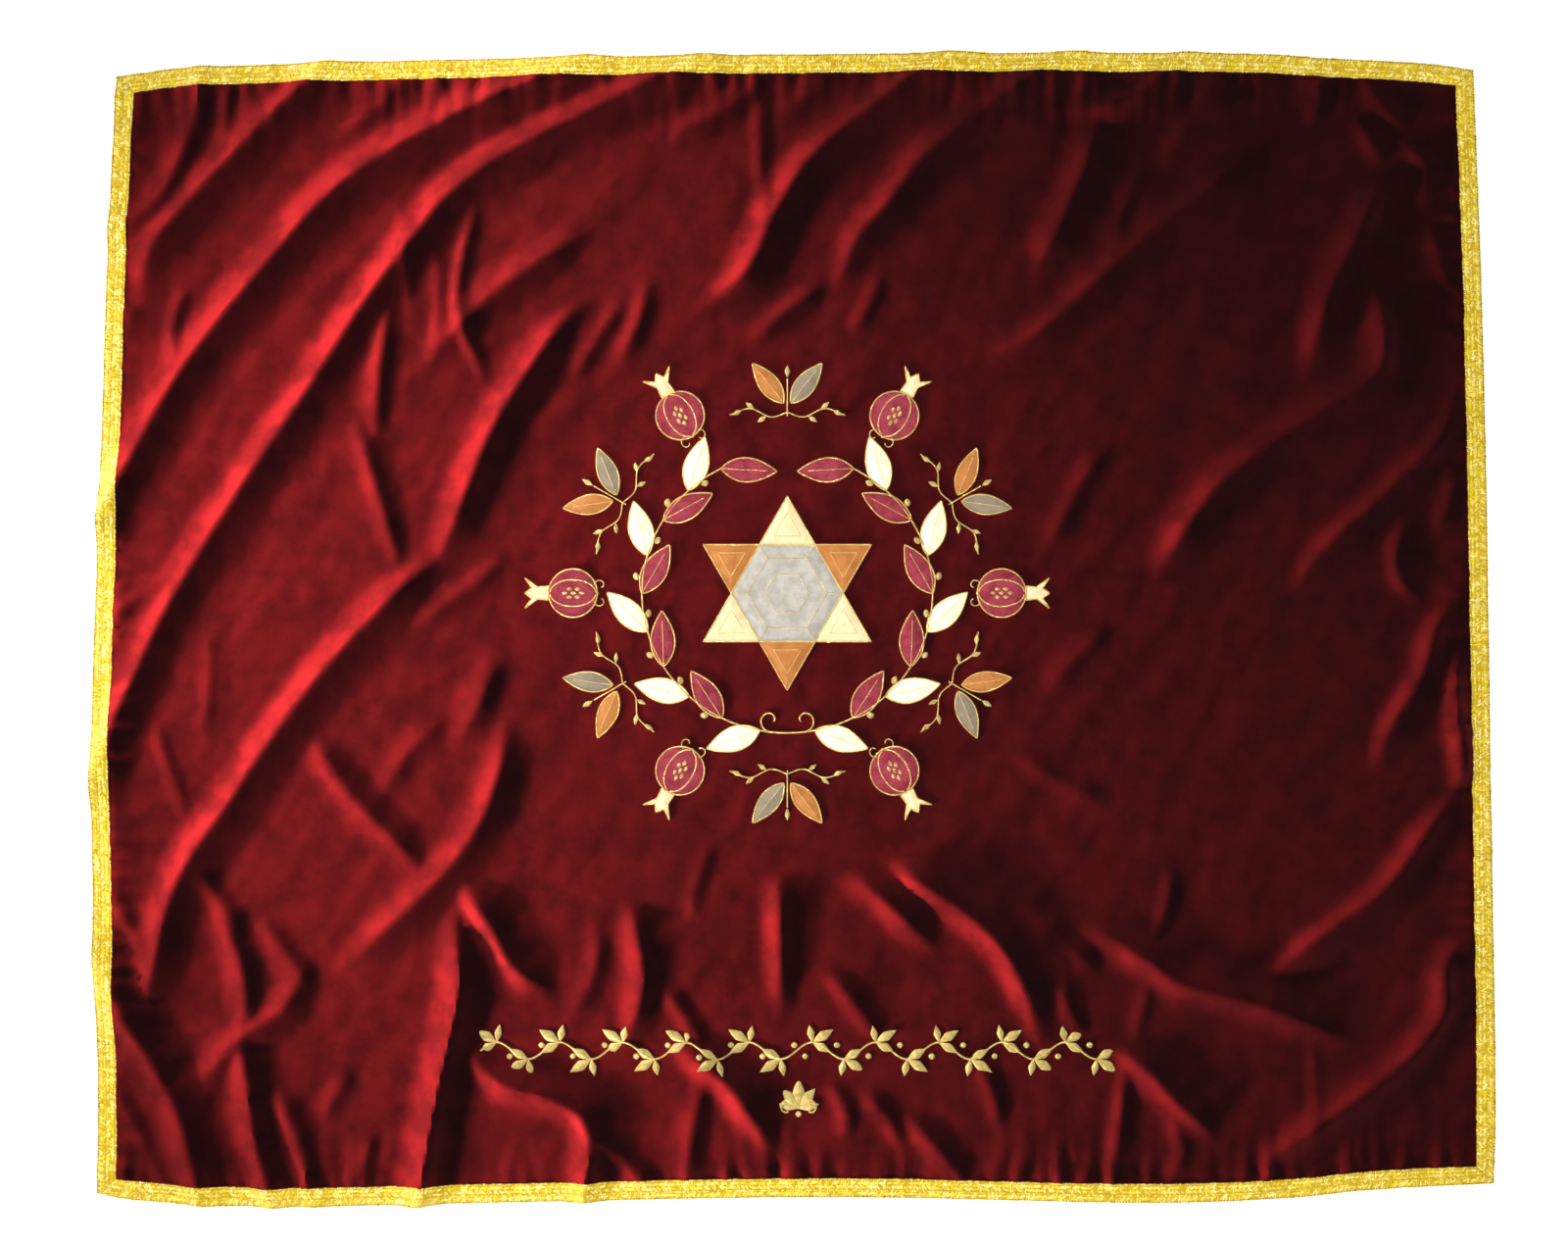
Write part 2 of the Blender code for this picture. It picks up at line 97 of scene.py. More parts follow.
# A fold is a soft ridge. Its crest follows a path in centimetres, from its upper end down. Its
# height and the widths of its two flanks are in millimetres, and runs_off names the ends that
# leave the cover at full height.
Fold = namedtuple("Fold", "height left right runs_off crest")
FOLDS = [
    # Long arcs across the upper left corner.
    Fold(8, 26, 26, "both", [(-63.4, 62.0), (-64.6, 54.1), (-68.6, 45.8), (-75.0, 42.4)]),
    Fold(14, 31, 47, "upper", [
        (-48.5, 62.5), (-59.1, 52.0), (-64.4, 46.4), (-69.1, 40.6), (-70.3, 34.0),
    ]),
    Fold(16, 31, 45, "both", [
        (-22.2, 61.5), (-38.0, 54.3), (-48.6, 47.7), (-56.5, 39.3), (-66.0, 27.2), (-75.0, 11.5),
    ]),
    Fold(14, 30, 41, "both", [
        (-9.6, 61.5), (-33.0, 49.8), (-42.8, 39.5), (-51.2, 27.2), (-66.3, 4.0), (-76.0, -17.0),
    ]),
    Fold(8, 31, 30, "none", [(-20.7, 43.7), (-27.5, 39.5), (-34.9, 33.8), (-41.0, 26.6)]),
    Fold(15, 30, 39, "none", [
        (-22.2, 36.2), (-27.5, 29.3), (-32.3, 21.6), (-36.5, 11.4), (-39.3, 5.6),
    ]),
    Fold(6, 20, 18, "none", [(-43.3, 36.6), (-44.4, 28.8), (-45.2, 19.4)]),
    Fold(6, 18, 20, "none", [(-47.3, 23.4), (-44.6, 14.5), (-42.0, 5.6)]),
    # The left side, down to the lower left corner.
    Fold(16, 30, 43, "none", [
        (-37.0, 9.0), (-43.3, 3.3), (-52.8, -7.3), (-60.7, -18.7), (-66.7, -28.4), (-69.9, -42.6),
    ]),
    Fold(8, 27, 27, "none", [(-25.6, 4.4), (-31.5, -3.4), (-34.4, -9.2), (-37.2, -12.8)]),
    Fold(7, 27, 26, "none", [(-52.4, -9.4), (-49.1, -15.7), (-43.8, -21.6), (-38.4, -27.2)]),
    Fold(13, 30, 37, "none", [
        (-30.4, -8.4), (-31.9, -16.0), (-35.0, -22.8), (-41.7, -30.3), (-50.6, -37.6),
    ]),
    Fold(9, 26, 26, "none", [(-62.2, -29.4), (-59.3, -36.0), (-58.7, -44.0)]),
    Fold(9, 30, 30, "none", [(-51.8, -35.4), (-55.1, -41.0), (-59.7, -44.2), (-64.6, -49.5)]),
    Fold(15, 41, 42, "both", [
        (-77.0, -31.6), (-71.6, -41.8), (-68.1, -47.6), (-65.7, -52.9), (-63.0, -63.0),
    ]),
    Fold(13, 27, 37, "lower", [(-60.0, -40.4), (-58.7, -48.2), (-57.8, -54.5), (-55.4, -63.4)]),
    Fold(7, 24, 24, "lower", [(-56.4, -47.6), (-53.6, -54.0), (-51.0, -63.0)]),
    # The lower edge, left to right.
    Fold(18, 31, 37, "lower", [
        (-36.8, -28.4), (-35.9, -37.6), (-37.0, -44.0), (-38.6, -51.3), (-40.6, -63.0),
    ]),
    Fold(12, 26, 31, "none", [(-36.6, -25.9), (-32.6, -31.6), (-30.1, -36.0), (-25.0, -39.6)]),
    Fold(14, 24, 33, "lower", [
        (-36.6, -43.0), (-32.3, -48.0), (-25.4, -50.5), (-22.2, -53.6), (-22.8, -63.0),
    ]),
    Fold(11, 26, 27, "none", [(-17.9, -28.2), (-16.4, -35.0), (-16.4, -39.2), (-18.4, -45.2)]),
    Fold(11, 24, 27, "none", [(-13.8, -43.6), (-7.7, -48.2), (-4.8, -51.9), (-2.0, -56.4)]),
    Fold(11, 21, 26, "none", [(-2.0, -18.1), (-1.6, -27.1), (-1.4, -42.5)]),
    Fold(11, 26, 30, "none", [(3.6, -18.4), (6.4, -25.5), (10.6, -29.7), (16.0, -35.1)]),
    Fold(15, 26, 39, "none", [
        (7.0, -20.4), (12.5, -26.2), (19.9, -31.5), (24.1, -37.1), (27.0, -45.5),
    ]),
    Fold(11, 27, 30, "none", [(33.2, -44.0), (37.8, -47.1), (41.0, -50.5), (46.0, -55.0)]),
    Fold(12, 26, 39, "none", [
        (29.5, -30.9), (37.3, -35.0), (41.5, -37.9), (50.5, -40.3), (61.0, -44.6),
    ]),
    # The upper edge, left to right.
    Fold(15, 30, 45, "upper", [
        (17.5, 62.5), (3.6, 52.4), (-1.7, 45.4), (-5.4, 38.0), (-11.6, 32.6),
    ]),
    Fold(13, 27, 41, "upper", [(30.5, 62.5), (15.2, 52.0), (9.9, 45.6), (6.4, 41.4), (4.2, 35.2)]),
    Fold(9, 20, 39, "upper", [(43.0, 62.8), (36.8, 57.4), (29.0, 55.6)]),
    Fold(11, 30, 37, "none", [(33.4, 56.5), (31.5, 50.9), (29.6, 46.2), (25.4, 37.3)]),
    Fold(11, 26, 37, "none", [
        (52.0, 53.0), (43.6, 46.7), (36.8, 41.4), (26.2, 31.9), (19.4, 28.6),
    ]),
    # The right side, from the top down.
    Fold(14, 26, 49, "none", [(66.3, 50.2), (62.3, 46.7), (59.8, 41.4), (57.0, 35.6), (54.7, 26.2)]),
    Fold(14, 30, 45, "none", [
        (61.6, 39.0), (63.2, 31.9), (61.9, 26.9), (55.8, 23.0), (45.2, 15.3), (37.6, 3.8),
    ]),
    Fold(12, 21, 41, "none", [(71.2, 27.0), (69.2, 20.6), (63.1, 14.5), (56.3, 8.2), (53.0, 3.0)]),
    Fold(12, 19, 42, "none", [
        (71.5, 4.4), (68.6, -0.2), (67.1, -5.0), (63.7, -10.8), (62.0, -15.6),
    ]),
    Fold(10, 17, 26, "none", [(71.4, -0.6), (70.7, -6.5), (71.2, -11.8), (71.4, -18.5)]),
    Fold(13, 22, 41, "none", [
        (72.8, -15.4), (67.9, -21.3), (63.1, -27.9), (56.3, -32.9), (49.2, -38.6),
    ]),
    Fold(13, 26, 39, "none", [
        (73.2, -31.4), (69.7, -36.0), (69.2, -41.3), (63.7, -47.6), (48.4, -58.6),
    ]),
]

# Smaller folds that only the looks have: height, left, right and crest, as above.
SMALL_FOLDS = [
    (4.5, 24, 20, [(-2.2, 60.6), (-7.0, 56.0), (-14.4, 52.8)]),
    (4.5, 14, 15, [(55.8, 60.6), (56.5, 57.0), (54.6, 54.0)]),
    (4.5, 20, 26, [(50.0, 58.0), (43.3, 55.1), (38.8, 49.6)]),
    (2.7, 21, 15, [(37.6, 50.8), (35.7, 46.2), (33.6, 39.6)]),
    (6.3, 14, 26, [(64.8, 52.8), (67.6, 49.6), (66.8, 44.2)]),
    (3.6, 14, 15, [(68.2, 44.2), (69.0, 40.4), (70.4, 36.2)]),
    (4.5, 15, 20, [(59.6, 55.5), (61.6, 52.6), (63.4, 49.8)]),
    (3.6, 15, 18, [(61.0, 59.0), (63.6, 55.8), (66.2, 53.6)]),
    (4.5, 18, 24, [(-30.4, 8.2), (-35.1, 4.5), (-41.6, -0.4)]),
    (4.5, 26, 24, [(-37.0, -8.8), (-41.2, -12.9), (-44.8, -18.4)]),
    (2.7, 14, 12, [(-69.0, -9.0), (-67.0, -15.0), (-65.0, -20.7)]),
    (3.6, 15, 18, [(-66.9, 6.1), (-71.2, 3.0), (-74.4, 0.6)]),
    (4.5, 10, 15, [(-33.8, 47.0), (-35.8, 39.3), (-35.9, 33.5), (-32.4, 25.1)]),
    (4.5, 20, 18, [(-15.5, 37.9), (-16.8, 33.0), (-19.0, 28.6)]),
    (3.6, 18, 18, [(-18.0, 35.8), (-21.4, 31.1), (-24.0, 26.2)]),
    (3.6, 15, 15, [(9.4, 38.7), (8.0, 35.0), (5.8, 31.2)]),
    (4.5, 21, 24, [(34.1, 20.4), (30.6, 15.6), (29.0, 12.2), (26.4, 8.0)]),
    (5.4, 14, 24, [(66.9, 12.9), (64.5, 9.0), (65.0, 5.4), (68.0, 2.6)]),
    (4.5, 18, 18, [(71.0, 18.6), (70.2, 14.0), (68.4, 10.0)]),
    (3.6, 26, 24, [(34.1, 1.3), (30.2, -3.0), (26.0, -6.6)]),
    (2.7, 20, 21, [(22.6, -12.0), (27.5, -15.7), (34.5, -19.2)]),
    (3.6, 14, 12, [(40.6, -25.0), (40.0, -29.5), (38.4, -33.6)]),
    (4.5, 12, 12, [(35.5, -46.0), (35.0, -52.0), (34.2, -58.6)]),
    (3.6, 15, 15, [(40.1, -51.6), (41.5, -55.5), (40.3, -59.4)]),
    (2.7, 14, 12, [(38.0, -37.0), (37.4, -40.7), (36.2, -44.4)]),
    (3.6, 14, 15, [(28.4, -37.0), (29.7, -41.3), (31.6, -44.0)]),
    (5.4, 24, 20, [(-9.5, -47.2), (-10.9, -53.4), (-11.9, -60.6)]),
    (4.5, 20, 20, [(2.8, -35.6), (6.6, -40.3), (9.4, -44.6)]),
    (3.6, 15, 14, [(3.4, -48.0), (5.4, -51.3), (5.7, -55.0)]),
    (3.6, 14, 15, [(7.0, -48.7), (9.9, -52.4), (12.0, -56.2)]),
    (5.4, 21, 21, [(11.5, -51.6), (15.5, -55.8), (18.8, -60.4)]),
    (3.6, 14, 15, [(19.2, -45.4), (21.2, -49.5), (22.2, -54.4)]),
    (4.5, 27, 20, [(-58.0, -30.0), (-54.4, -35.0), (-51.2, -38.9)]),
    (3.6, 20, 18, [(-47.6, -46.6), (-49.0, -49.6), (-51.0, -53.0)]),
    (3.6, 14, 14, [(-45.2, -53.5), (-46.2, -57.0), (-47.4, -60.6)]),
    (3.6, 12, 12, [(-65.0, 37.6), (-66.7, 32.5), (-66.5, 27.0)]),
    (4.5, 18, 18, [(-64.3, -25.5), (-61.5, -29.2), (-59.0, -33.0)]),
    (4.5, 14, 18, [(-74.4, -26.6), (-71.4, -31.5), (-69.0, -36.4)]),
    (3.6, 20, 18, [(-21.0, -30.8), (-21.7, -37.6), (-25.0, -42.8)]),
    (2.7, 14, 14, [(-8.8, -22.4), (-10.6, -27.5), (-11.2, -31.6)]),
    (3.6, 24, 21, [(5.4, 61.2), (1.8, 57.4), (-2.7, 54.3)]),
    (3.6, 20, 18, [(-42.0, 60.4), (-44.6, 56.0), (-49.4, 53.0)]),
    (2.7, 12, 12, [(-60.0, 61.0), (-61.0, 55.7), (-61.6, 51.0)]),
    (3.6, 15, 15, [(-14.6, -37.4), (-11.8, -41.4), (-9.4, -45.4)]),
    (5.4, 21, 24, [(-23.0, -52.4), (-19.1, -56.1), (-14.6, -61.2)]),
    (4.5, 24, 24, [(24.6, -29.8), (28.6, -33.4), (33.0, -37.0)]),
    (5.4, 21, 21, [(-74.6, -46.6), (-70.2, -54.0), (-67.4, -61.0)]),
    (5.4, 18, 20, [(3.5, 37.5), (-1.7, 33.5), (-5.0, 30.2)]),
    # Creases left by folding the cover away.
    (2.7, 12, 15, [(-3.8, 59.6), (-3.8, 52.0), (-3.2, 42.0)]),
    (1.4, 9, 11, [(-62.6, 1.0), (-62.9, -6.0), (-63.4, -13.0)]),
    (1.8, 9, 13, [(-38.8, 42.0), (-38.2, 36.0), (-38.8, 28.0)]),
    (1.8, 9, 13, [(-42.6, 47.0), (-41.9, 41.0), (-41.0, 32.0)]),
    (1.4, 10, 10, [(-62.8, 3.3), (-55.4, 2.9), (-48.6, 2.6)]),
    (1.4, 10, 10, [(24.1, 5.7), (30.0, 5.9), (35.7, 5.4), (46.3, 4.5)]),
    (1.6, 10, 10, [(55.6, -43.6), (55.9, -49.0), (55.4, -57.4)]),
]
CREST_ROUND = 4.0 * MM
SMALL_ROUND = 3.5 * MM
FLANK_POWER = 2.0
TIP_LONG = 9.0 * CM
TIP_SHARE = 0.3
TIP_WIDTH = 0.5
BLEND_POWER = 3.0
CREST_STEPS = 6
FACING_STEP = 2.0 * MM

# The sewn middle is stiff: folds die out over a share of an ellipse round it, small ones nearer.
FLAT_HALF = (30.5 * CM, 29.5 * CM)
FLAT_FADE = 0.15
SMALL_FLAT_HALF = (24.0 * CM, 23.0 * CM)
SMALL_FLAT_FADE = 0.3

# Unevenness of the whole cloth: length along the folds, length across them, and height.
WAVES = [(170 * MM, 62 * MM, 2.6 * MM), (72 * MM, 30 * MM, 2.2 * MM), (26 * MM, 14 * MM, 1.1 * MM)]
WAVE_LEAN = math.radians(48)

# Short puckers where the braid's seam draws the velvet in: how far apart they are, how long, over
# what length of seam they grow and fade, how soon they die away from it, and their height.
PUCKER_APART = 13.0 * MM
PUCKER_LONG = 70.0 * MM
PUCKER_PATCH = 0.13
PUCKER_REACH = 22.0 * MM
PUCKER_HIGH = 5.6 * MM
# How much of the seam they cover and how sharply they rise, and how their strength varies on it.
PUCKER_LEVEL = 0.45
PUCKER_GAIN = 1.3
PUCKER_STRENGTH = 0.8
PUCKER_VARIATION = 1.2
PUCKER_WEAKEST, PUCKER_STRONGEST = 0.1, 1.6
PUCKER_START = 0.4

VELVET_COLUMNS = 321
VELVET_ROWS = 264
UNDERSIDE_STEP = 3

# The patches, drawn as the part draws them.
STAR_TIP = 10.4 * CM
STAR_INNER = STAR_TIP / math.sqrt(3)
STAR_POINTS = 6
WREATH_HALF = (15.6 * CM, 15.0 * CM)
WREATH_LEAVES = 10
WREATH_FIRST = math.radians(-79)
WREATH_LAST = math.radians(63)
WREATH_LEAF = (6.0 * CM, 2.6 * CM)
WREATH_TURN = math.radians(30)
OUTER_STATIONS = 6
FRUIT_HALF = (23.0 * CM, 22.0 * CM)
FRUIT_RADIUS = 2.6 * CM
FRUIT_SIDES = 72
CROWN_TALL = 2.5 * CM
CROWN_FOOT = 1.5 * CM
CROWN_WIDE = 3.3 * CM
SPRIG_HALF = (21.4 * CM, 20.4 * CM)
SPRIG_LEAF = (5.4 * CM, 2.1 * CM)
SPRIG_TURN = math.radians(38)
SPRIG_FOOT = 4.0 * MM
LEAF_STEPS = 30
LEAF_LEAN = 0.85
LEAF_ROUND = 0.9

# How a patch swells from its stitched edge, how far its underside stands over the velvet, and the
# rings that it is built of.
PATCH_EDGE = 0.5 * MM
PATCH_LOW = 0.1 * MM
PATCH_SWELL = 1.1 * MM
PATCH_SWELL_OVER = 1.6 * MM
PATCH_CROWN = 0.9 * MM
PATCH_CROWN_OVER = 11.0 * MM
PATCH_WRINKLE = 0.22 * MM
PATCH_WRINKLE_SIZE = 8.0 * MM
PATCH_WRINKLE_OVER = 3 * MM
PATCH_CELL = 1.9 * MM
PATCH_RINGS = (1.0, 0.965, 0.92, 0.86, 0.77, 0.65, 0.5, 0.34, 0.17)


# Curves, the cover's outline and the height of the cloth.


def curve_through(points, steps):
    """A smooth line through the points, with this many steps from each to the next."""
    points = np.array(points, dtype=float)
    ends = np.vstack([2 * points[0] - points[1], points, 2 * points[-1] - points[-2]])
    line = []
    for before, here, after, beyond in zip(ends[:-3], ends[1:-2], ends[2:-1], ends[3:]):
        for step in range(steps):
            t = step / steps
            linear = (after - before) * t
            square = (2 * before - 5 * here + 4 * after - beyond) * t ** 2
            cube = (3 * here - before - 3 * after + beyond) * t ** 3
            line.append(0.5 * (2 * here + linear + square + cube))
    line.append(points[-1])
    return np.array(line)


def ramp(t):
    """0 below 0 and 1 above 1, with a smooth rise between."""
    t = np.clip(t, 0.0, 1.0)
    return t * t * (3 - 2 * t)


EDGE_LINES = {name: curve_through(edge, EDGE_STEPS) * CM + SHIFT for name, edge in EDGES.items()}
COVER_WIDE = (EDGES["top"][-1][0] - EDGES["top"][0][0]) * CM
COVER_TALL = (EDGES["left"][-1][1] - EDGES["left"][0][1]) * CM


def edge_point(name, share):
    """Points of an edge at these shares of its length."""
    line = EDGE_LINES[name]
    along = 0 if name in ("top", "bottom") else 1
    wanted = line[0, along] + share * (line[-1, along] - line[0, along])
    other = np.interp(wanted, line[:, along], line[:, 1 - along])
    return np.column_stack([wanted, other] if along == 0 else [other, wanted])


def cover_point(u, v):
    """X and Y of places given as shares of the cover's width and height."""
    bottom, top = edge_point("bottom", u), edge_point("top", u)
    left, right = edge_point("left", v), edge_point("right", v)
    a, b = u[:, None], v[:, None]
    low = (1 - a) * EDGE_LINES["bottom"][0] + a * EDGE_LINES["bottom"][-1]
    high = (1 - a) * EDGE_LINES["top"][0] + a * EDGE_LINES["top"][-1]
    return (1 - b) * bottom + b * top + (1 - a) * left + a * right - (1 - b) * low - b * high


CREST_LINES = {}


def crest_line(crest):
    """A fold's crest as a smooth line, with the corners of its box."""
    key = tuple(crest)
    if key not in CREST_LINES:
        line = curve_through(crest, CREST_STEPS) * CM + SHIFT
        CREST_LINES[key] = (line, line.min(axis=0), line.max(axis=0))
    return CREST_LINES[key]


def one_fold(points, fold, rounding):
    """The height that one fold gives to each point."""
    crest, low, high = crest_line(fold.crest)
    reach = max(fold.left, fold.right) * MM + rounding
    inside = np.all((points > low - reach) & (points < high + reach), axis=1)
    height = np.zeros(len(points))
    if not inside.any():
        return height
    near = points[inside]
    nearest = np.full(len(near), np.inf)
    on_left = np.zeros(len(near), dtype=bool)
    along = np.zeros(len(near))
    passed = 0.0
    for start, end in zip(crest[:-1], crest[1:]):
        step = end - start
        length = math.hypot(*step)
        offset = near - start
        share = np.clip(offset @ step / length ** 2, 0.0, 1.0)
        away = offset - share[:, None] * step
        distance = np.hypot(away[:, 0], away[:, 1])
        closer = distance < nearest
        nearest[closer] = distance[closer]
        on_left[closer] = (step[0] * away[:, 1] - step[1] * away[:, 0] < 0)[closer]
        along[closer] = (passed + share * length)[closer]
        passed += length
    tip = min(TIP_SHARE * passed, TIP_LONG)
    upper = 1.0 if fold.runs_off in ("upper", "both") else ramp(along / tip)
    lower = 1.0 if fold.runs_off in ("lower", "both") else ramp((passed - along) / tip)
    ends = upper * lower
    flank = np.where(on_left, fold.left, fold.right) * MM
    flank = flank * (TIP_WIDTH + (1 - TIP_WIDTH) * ends)
    rounded = np.sqrt(nearest ** 2 + rounding ** 2) - rounding
    height[inside] = fold.height * MM * ends * np.clip(1 - rounded / flank, 0.0, 1.0) ** FLANK_POWER
    return height


def away_from_middle(points, half, fade):
    """0 on the sewn middle and 1 away from it."""
    reach = np.hypot(*((points - MIDDLE) / np.array(half)).T)
    return ramp((reach - 1) / fade)


def waves(points):
    """Slow unevenness of a cloth that has lain folded, never below nothing."""
    cos, sin = math.cos(WAVE_LEAN), math.sin(WAVE_LEAN)
    along = points[:, 0] * cos + points[:, 1] * sin
    across = points[:, 1] * cos - points[:, 0] * sin
    total = np.zeros(len(points))
    for number, (long, wide, high) in enumerate(WAVES):
        places = np.column_stack([along / long, across / wide])
        total += high * np.array([0.5 + 0.5 * noise.noise((x, y, 7.3 * number)) for x, y in places])
    return total


def cloth_height(points):
    """The height of the velvet's underside at each point."""
    total = np.zeros(len(points))
    for fold in FOLDS:
        total += one_fold(points, fold, CREST_ROUND) ** BLEND_POWER
    total = total ** (1 / BLEND_POWER) * away_from_middle(points, FLAT_HALF, FLAT_FADE)
    small = np.zeros(len(points))
    for height, left, right, crest in SMALL_FOLDS:
        small += one_fold(points, Fold(height, left, right, "none", crest), SMALL_ROUND) ** 2
    total += np.sqrt(small) * away_from_middle(points, SMALL_FLAT_HALF, SMALL_FLAT_FADE)
    return total + waves(points)


def puckers(u, v):
    """Short ripples inside the braid's seam, at places given as shares of the width and height."""
    x, y = u * COVER_WIDE, v * COVER_TALL
    total = np.zeros(len(u))
    seams = ((y, x), (COVER_TALL - y, x), (x, y), (COVER_WIDE - x, y))
    for number, (distance, along) in enumerate(seams):
        ripple = np.array([
            noise.noise((s / PUCKER_APART, d / PUCKER_LONG, 3.1 * number))
            for s, d in zip(along, distance)
        ])
        ripple = np.clip(PUCKER_LEVEL + PUCKER_GAIN * ripple, 0.0, 1.0)
        strength = np.array([noise.noise((s / PUCKER_PATCH, 5.7 * number, 9.5)) for s in along])
        strength = np.clip(PUCKER_STRENGTH + PUCKER_VARIATION * strength, PUCKER_WEAKEST, PUCKER_STRONGEST)
        fade = ramp(distance / BRAID_WIDE - PUCKER_START) * np.exp(-distance / PUCKER_REACH)
        total += PUCKER_HIGH * fade * ripple * strength * math.e
    return total


def cloth_place(u, v, lift=0.0):
    """Points on the velvet's face, raised by the lift, at shares of the cover's width and height."""
    flat = cover_point(u, v)
    return np.column_stack([flat, cloth_height(flat) + puckers(u, v) + VELVET_THICK + lift])


def cloth_facing(flat):
    """The direction that the velvet's face looks in at each point."""
    step = FACING_STEP
    right = cloth_height(flat + (step, 0)) - cloth_height(flat - (step, 0))
    up = cloth_height(flat + (0, step)) - cloth_height(flat - (0, step))
    facing = np.column_stack([-right, -up, np.full(len(flat), 2 * step)])
    return facing / np.linalg.norm(facing, axis=1)[:, None]


# Meshes and objects.


def new_object(name, points, faces=(), edges=()):
    """A mesh object at the origin, with its shape in its points."""
    mesh = bpy.data.meshes.new(name)
    mesh.from_pydata([tuple(map(float, point)) for point in points], edges, faces)
    made = bpy.data.objects.new(name, mesh)
    bpy.context.scene.collection.objects.link(made)
    return made


def finished(made, finish, replaces=None, sharp=40):
    """Gives a piece its material, smooth faces and place in the frame, and hides the part it replaces."""
    mesh = made.data
    if not mesh.materials:
        mesh.materials.append(finish)
    mesh.shade_smooth()
    mesh.set_sharp_from_angle(angle=math.radians(sharp))
    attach(made, "root")
    if replaces:
        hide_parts(replaces)
    return made


def add_attribute(made, name, kind, values):
    """Writes one value a point on the object's mesh."""
    attribute = made.data.attributes.new(name, kind, "POINT")
    field = "vector" if kind == "FLOAT_VECTOR" else "value"
    attribute.data.foreach_set(field, np.asarray(values, dtype=float).ravel())


def sheet_faces(top, bottom_start):
    """Faces over the points, the same ones turned over below, and the wall round them."""
    faces = list(top)
    sides = set()
    for face in top:
        faces.append([bottom_start + i for i in reversed(face)])
        sides.update(zip(face, face[1:] + face[:1]))
    for a, b in sides:
        if (b, a) not in sides:
            faces.append([bottom_start + a, bottom_start + b, b, a])
    return faces


# The cloth of velvet.


def velvet_mesh():
    """A closed sheet: a fine face, a coarser underside, and the cut edge round them."""
    columns, rows, step = VELVET_COLUMNS, VELVET_ROWS, UNDERSIDE_STEP
    u, v = np.meshgrid(np.linspace(0, 1, columns + 1), np.linspace(0, 1, rows + 1))
    upper = cloth_place(u.ravel(), v.ravel()).reshape(rows + 1, columns + 1, 3)
    lower = upper[::step, ::step].copy()
    lower[:, :, 2] -= VELVET_THICK
    low_rows, low_columns = lower.shape[0] - 1, lower.shape[1] - 1
    start = (rows + 1) * (columns + 1)

    def top(row, column):
        return row * (columns + 1) + column

    def under(row, column):
        return start + row * (low_columns + 1) + column

    faces = []
    for r in range(rows):
        for c in range(columns):
            faces.append([top(r, c), top(r, c + 1), top(r + 1, c + 1), top(r + 1, c)])
    for r in range(low_rows):
        for c in range(low_columns):
            faces.append([under(r, c), under(r + 1, c), under(r + 1, c + 1), under(r, c + 1)])
    onward = range(step + 1)
    back = onward[::-1]
    for c in range(low_columns):
        faces.append([under(0, c), under(0, c + 1)] + [top(0, c * step + i) for i in back])
        faces.append([under(low_rows, c + 1), under(low_rows, c)]
                     + [top(rows, c * step + i) for i in onward])
    for r in range(low_rows):
        faces.append([under(r, low_columns), under(r + 1, low_columns)]
                     + [top(r * step + i, columns) for i in back])
        faces.append([under(r + 1, 0), under(r, 0)] + [top(r * step + i, 0) for i in onward])
    return new_object("velvet_cloth", np.vstack([upper.reshape(-1, 3), lower.reshape(-1, 3)]), faces)


# Node trees.


def socket_of(sockets, key):
    """The shown socket of this name, or the one at this place."""
    if isinstance(key, int):
        return sockets[key]
    shown = [socket for socket in sockets if socket.enabled and socket.name == key]
    return shown[0] if shown else sockets[key]


